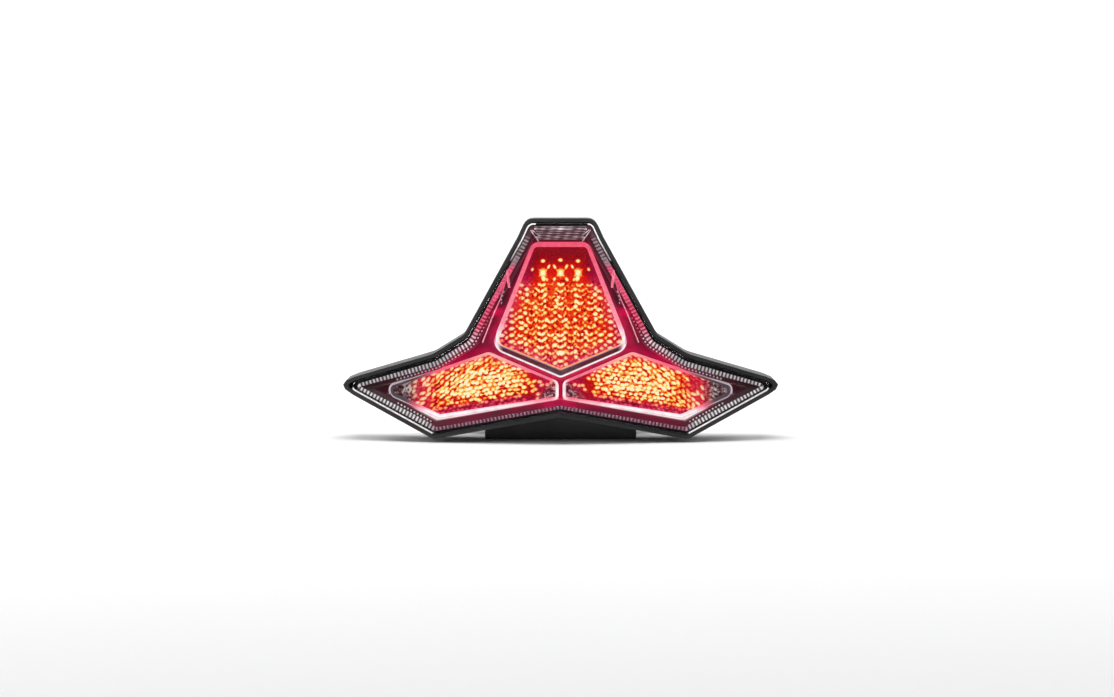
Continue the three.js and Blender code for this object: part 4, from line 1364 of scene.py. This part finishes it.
def wing_glow(x, z, margin, light):
    """Brightness of a wing's lattice, its magenta share, and how much of it is lit."""
    level = z + WING_SLANT * (x - WING_X)
    haze = 0.34 + 0.3 * mound((x, 41, 21), (level, 27, 8)) - 0.06 * fade(x, 20, 12)
    below = fade(z + WING_SLANT * x, 24.2, 21.4) * fade(x, 12, 22)
    glow = np.maximum(light, haze) * (1 - 0.34 * below)
    rim = np.clip(1.1 * np.exp(-margin / 1.6) - 0.2, 0, 1)
    outer = np.minimum(fade(x, 64, 78), 0.55)
    inner = np.minimum(fade(x, 15, 7), 0.7)
    lit_outside = np.maximum(fade(x, 81, 74), 0.05)
    lit_inside = np.maximum(fade(x + 0.9 * (z - 19), 7, 13), 0.2)
    return glow, np.max([rim, 0.9 * below, outer, inner], axis=0), lit_outside * lit_inside


def reflector(side):
    """A lattice of small bumps that shows each LED's light as bright cells."""
    *_, inner, surface = PODS[side]
    flat, quads = lattice_grid(inner.ring(LATTICE_OVERLAP))
    mirror = -1 if side == "left" else 1
    make_marks, make_pits, glow_of = wing_marks, wing_pits, wing_glow
    if side == "centre":
        make_marks, make_pits, glow_of = centre_marks, centre_pits, centre_glow
    light = mark_light(flat, make_marks(), mirror)
    dark = mark_light(flat, make_pits(), mirror) * (light < NO_PITS_ABOVE)
    depth = LATTICE_DEPTH + CELL_BUMP * (1 - np.clip(light, 0, 1))
    build = Builder()
    build.add(lifted(flat, depth, surface), quads)
    piece = build.make(f"{side}_lattice", LATTICE, f"{side}_reflector", "lit_reflector", smooth=80, weld=0)
    margin = distance_to(flat, inner.ring())
    glow, edges, lit = glow_of(np.abs(flat[:, 0]), flat[:, 1], margin, light)
    paint(piece, "glow", glow * (1 - dark))
    paint(piece, "edge", edges)
    paint(piece, "lit", lit)
    thicken(piece, LATTICE_THICK)


# ---- carried-over CAD nodes

NODE_MATERIALS = {
    "rear_housing": BLACK,
    "lens_seal": RUBBER,
    "connector_shell": SATIN,
    "connector_seal": RUBBER,
    "vent_cap": SATIN,
    "vent_membrane": MEMBRANE,
    "driver_board": BOARD,
    "regulator": CHIP,
    "inductor": CHIP,
    "capacitor": CAN,
}
NAME_MATERIALS = [
    ("_led_board", BOARD),
    ("_led_", LED),
    ("_screw_", STEEL),
    ("_collar", STEEL),
    ("_grommet", RUBBER),
    ("terminal_", TIN),
    ("lead_", JACKET),
]

EDGE_WIDTHS = {
    "rear_housing": 0.0005,
    "connector_shell": 0.0003,
    "vent_cap": 0.0004,
    "connector_seal": 0.0003,
}
ONE_POINT = 0.00001  # points this close are joined
ONE_FACE = math.radians(1)  # and faces this level
SHARP_EDGE = math.radians(60)  # before edges sharper than this are rounded


def node_material(name):
    """A node's material by its name, or None for the nodes that finer pieces stand in for."""
    if name in NODE_MATERIALS:
        return NODE_MATERIALS[name]
    return next((material for part, material in NAME_MATERIALS if part in name), None)


def finish_nodes():
    for name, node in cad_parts.items():
        material = node_material(name)
        if material is not None:
            node.data.materials.clear()
            node.data.materials.append(material)


def soften_edges():
    """Rounds the sharp edges of the carried-over mouldings."""
    for name, width in EDGE_WIDTHS.items():
        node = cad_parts[name]
        node.modifiers.new("weld", "WELD").merge_threshold = ONE_POINT
        merge = node.modifiers.new("merge_flats", "DECIMATE")
        merge.decimate_type = "DISSOLVE"
        merge.angle_limit = ONE_FACE
        bevel = node.modifiers.new("edges", "BEVEL")
        bevel.width = width
        bevel.segments = 2
        bevel.limit_method = "ANGLE"
        bevel.angle_limit = SHARP_EDGE
        bevel.use_clamp_overlap = False
        bevel.harden_normals = True


# ---- studio

FLOOR_FRONT = -3.0
FLOOR_BACK = 1.2
FLOOR_HALF = 4.0
SWEEP_RADIUS = 0.9
SWEEP_STEPS = 16
BACKDROP_TOP = 4.0
FLOOR_COLOUR = (0.8, 0.8, 0.8)
FLOOR_ROUGHNESS = 0.85
SKY_COLOUR = (0.95, 0.97, 1.0)
SKY_STRENGTH = 0.08
LIGHT_AIM_Z = 50

# Each soft light's name, place, power and size, and if it shows in glossy surfaces.
LIGHTS = [
    ("key", (-1.7, -1.1, 0.7), 18, 1.6, True),
    ("fill", (1.8, -1.0, 0.65), 12, 1.6, True),
    ("back_left", (-1.3, 1.0, 1.3), 22, 0.8, True),
    ("back_right", (1.3, 0.9, 1.2), 18, 0.8, True),
    ("overhead", (0.0, 0.5, 2.2), 44, 1.6, False),
]


def floor():
    """A pale floor that sweeps up into a backdrop."""
    profile = [(FLOOR_FRONT, 0.0), (FLOOR_BACK, 0.0)]
    for step in range(1, SWEEP_STEPS + 1):
        angle = step / SWEEP_STEPS * math.pi / 2
        rise = SWEEP_RADIUS - SWEEP_RADIUS * math.cos(angle)
        profile.append((FLOOR_BACK + SWEEP_RADIUS * math.sin(angle), rise))
    profile.append((FLOOR_BACK + SWEEP_RADIUS, BACKDROP_TOP))
    points = [(x, y, z) for y, z in profile for x in (-FLOOR_HALF, FLOOR_HALF)]
    faces = [(2 * i, 2 * i + 1, 2 * i + 3, 2 * i + 2) for i in range(len(profile) - 1)]
    mesh = bpy.data.meshes.new("studio_floor")
    mesh.from_pydata(points, [], faces)
    mesh.shade_smooth()
    piece = bpy.data.objects.new("studio_floor", mesh)
    bpy.context.scene.collection.objects.link(piece)
    make = Shader("studio_floor")
    mesh.materials.append(make.principled({"Base Color": (*FLOOR_COLOUR, 1), "Roughness": FLOOR_ROUGHNESS}))


def sky():
    world = bpy.data.worlds.new("studio_world")
    world.use_nodes = True
    background = world.node_tree.nodes["Background"]
    background.inputs["Color"].default_value = (*SKY_COLOUR, 1)
    background.inputs["Strength"].default_value = SKY_STRENGTH
    bpy.context.scene.world = world


def soft_light(name, place, power, size, glossy):
    """A square light that points at the lamp."""
    light = bpy.data.lights.new(name, "AREA")
    light.energy = power
    light.size = size
    lamp = bpy.data.objects.new(name, light)
    bpy.context.scene.collection.objects.link(lamp)
    lamp.location = place
    target = Vector((0, 0, LAMP_Z + LIGHT_AIM_Z * MM))
    lamp.rotation_euler = (target - lamp.location).to_track_quat("-Z", "Y").to_euler()
    lamp.visible_glossy = glossy


CAMERA_DISTANCE = 1.9
CAMERA_ELEVATION = math.radians(3)
VIEW_WIDTH = 0.586
SENSOR = 36.0
AIM_X = -1.9
AIM_DEPTH = 20
AIM_Z = 43.7


def camera():
    """Almost level behind the lamp, framed as a picture of the whole tail would be."""
    lens = bpy.data.cameras.new("camera")
    lens.sensor_width = SENSOR
    lens.lens = SENSOR * CAMERA_DISTANCE / VIEW_WIDTH
    eye = bpy.data.objects.new("camera", lens)
    bpy.context.scene.collection.objects.link(eye)
    target = Vector((AIM_X * MM, APEX_Y + AIM_DEPTH * MM, LAMP_Z + AIM_Z * MM))
    back = Vector((0, -math.cos(CAMERA_ELEVATION), math.sin(CAMERA_ELEVATION)))
    eye.location = target + back * CAMERA_DISTANCE
    eye.rotation_euler = (-back).to_track_quat("-Z", "Y").to_euler()
    bpy.context.scene.camera = eye


# ---- assembly

camera()
floor()
sky()
for light_values in LIGHTS:
    soft_light(*light_values)
outer_lens()
lens_band()
bead_row()
painted_edge_highlights()
head_steps()
bezel()
creases()
for pod_side in PODS:
    pod_frame(pod_side)
    pod_pane(pod_side)
    reflector(pod_side)
finish_nodes()
soften_edges()

bpy.context.scene.view_settings.view_transform = "Standard"
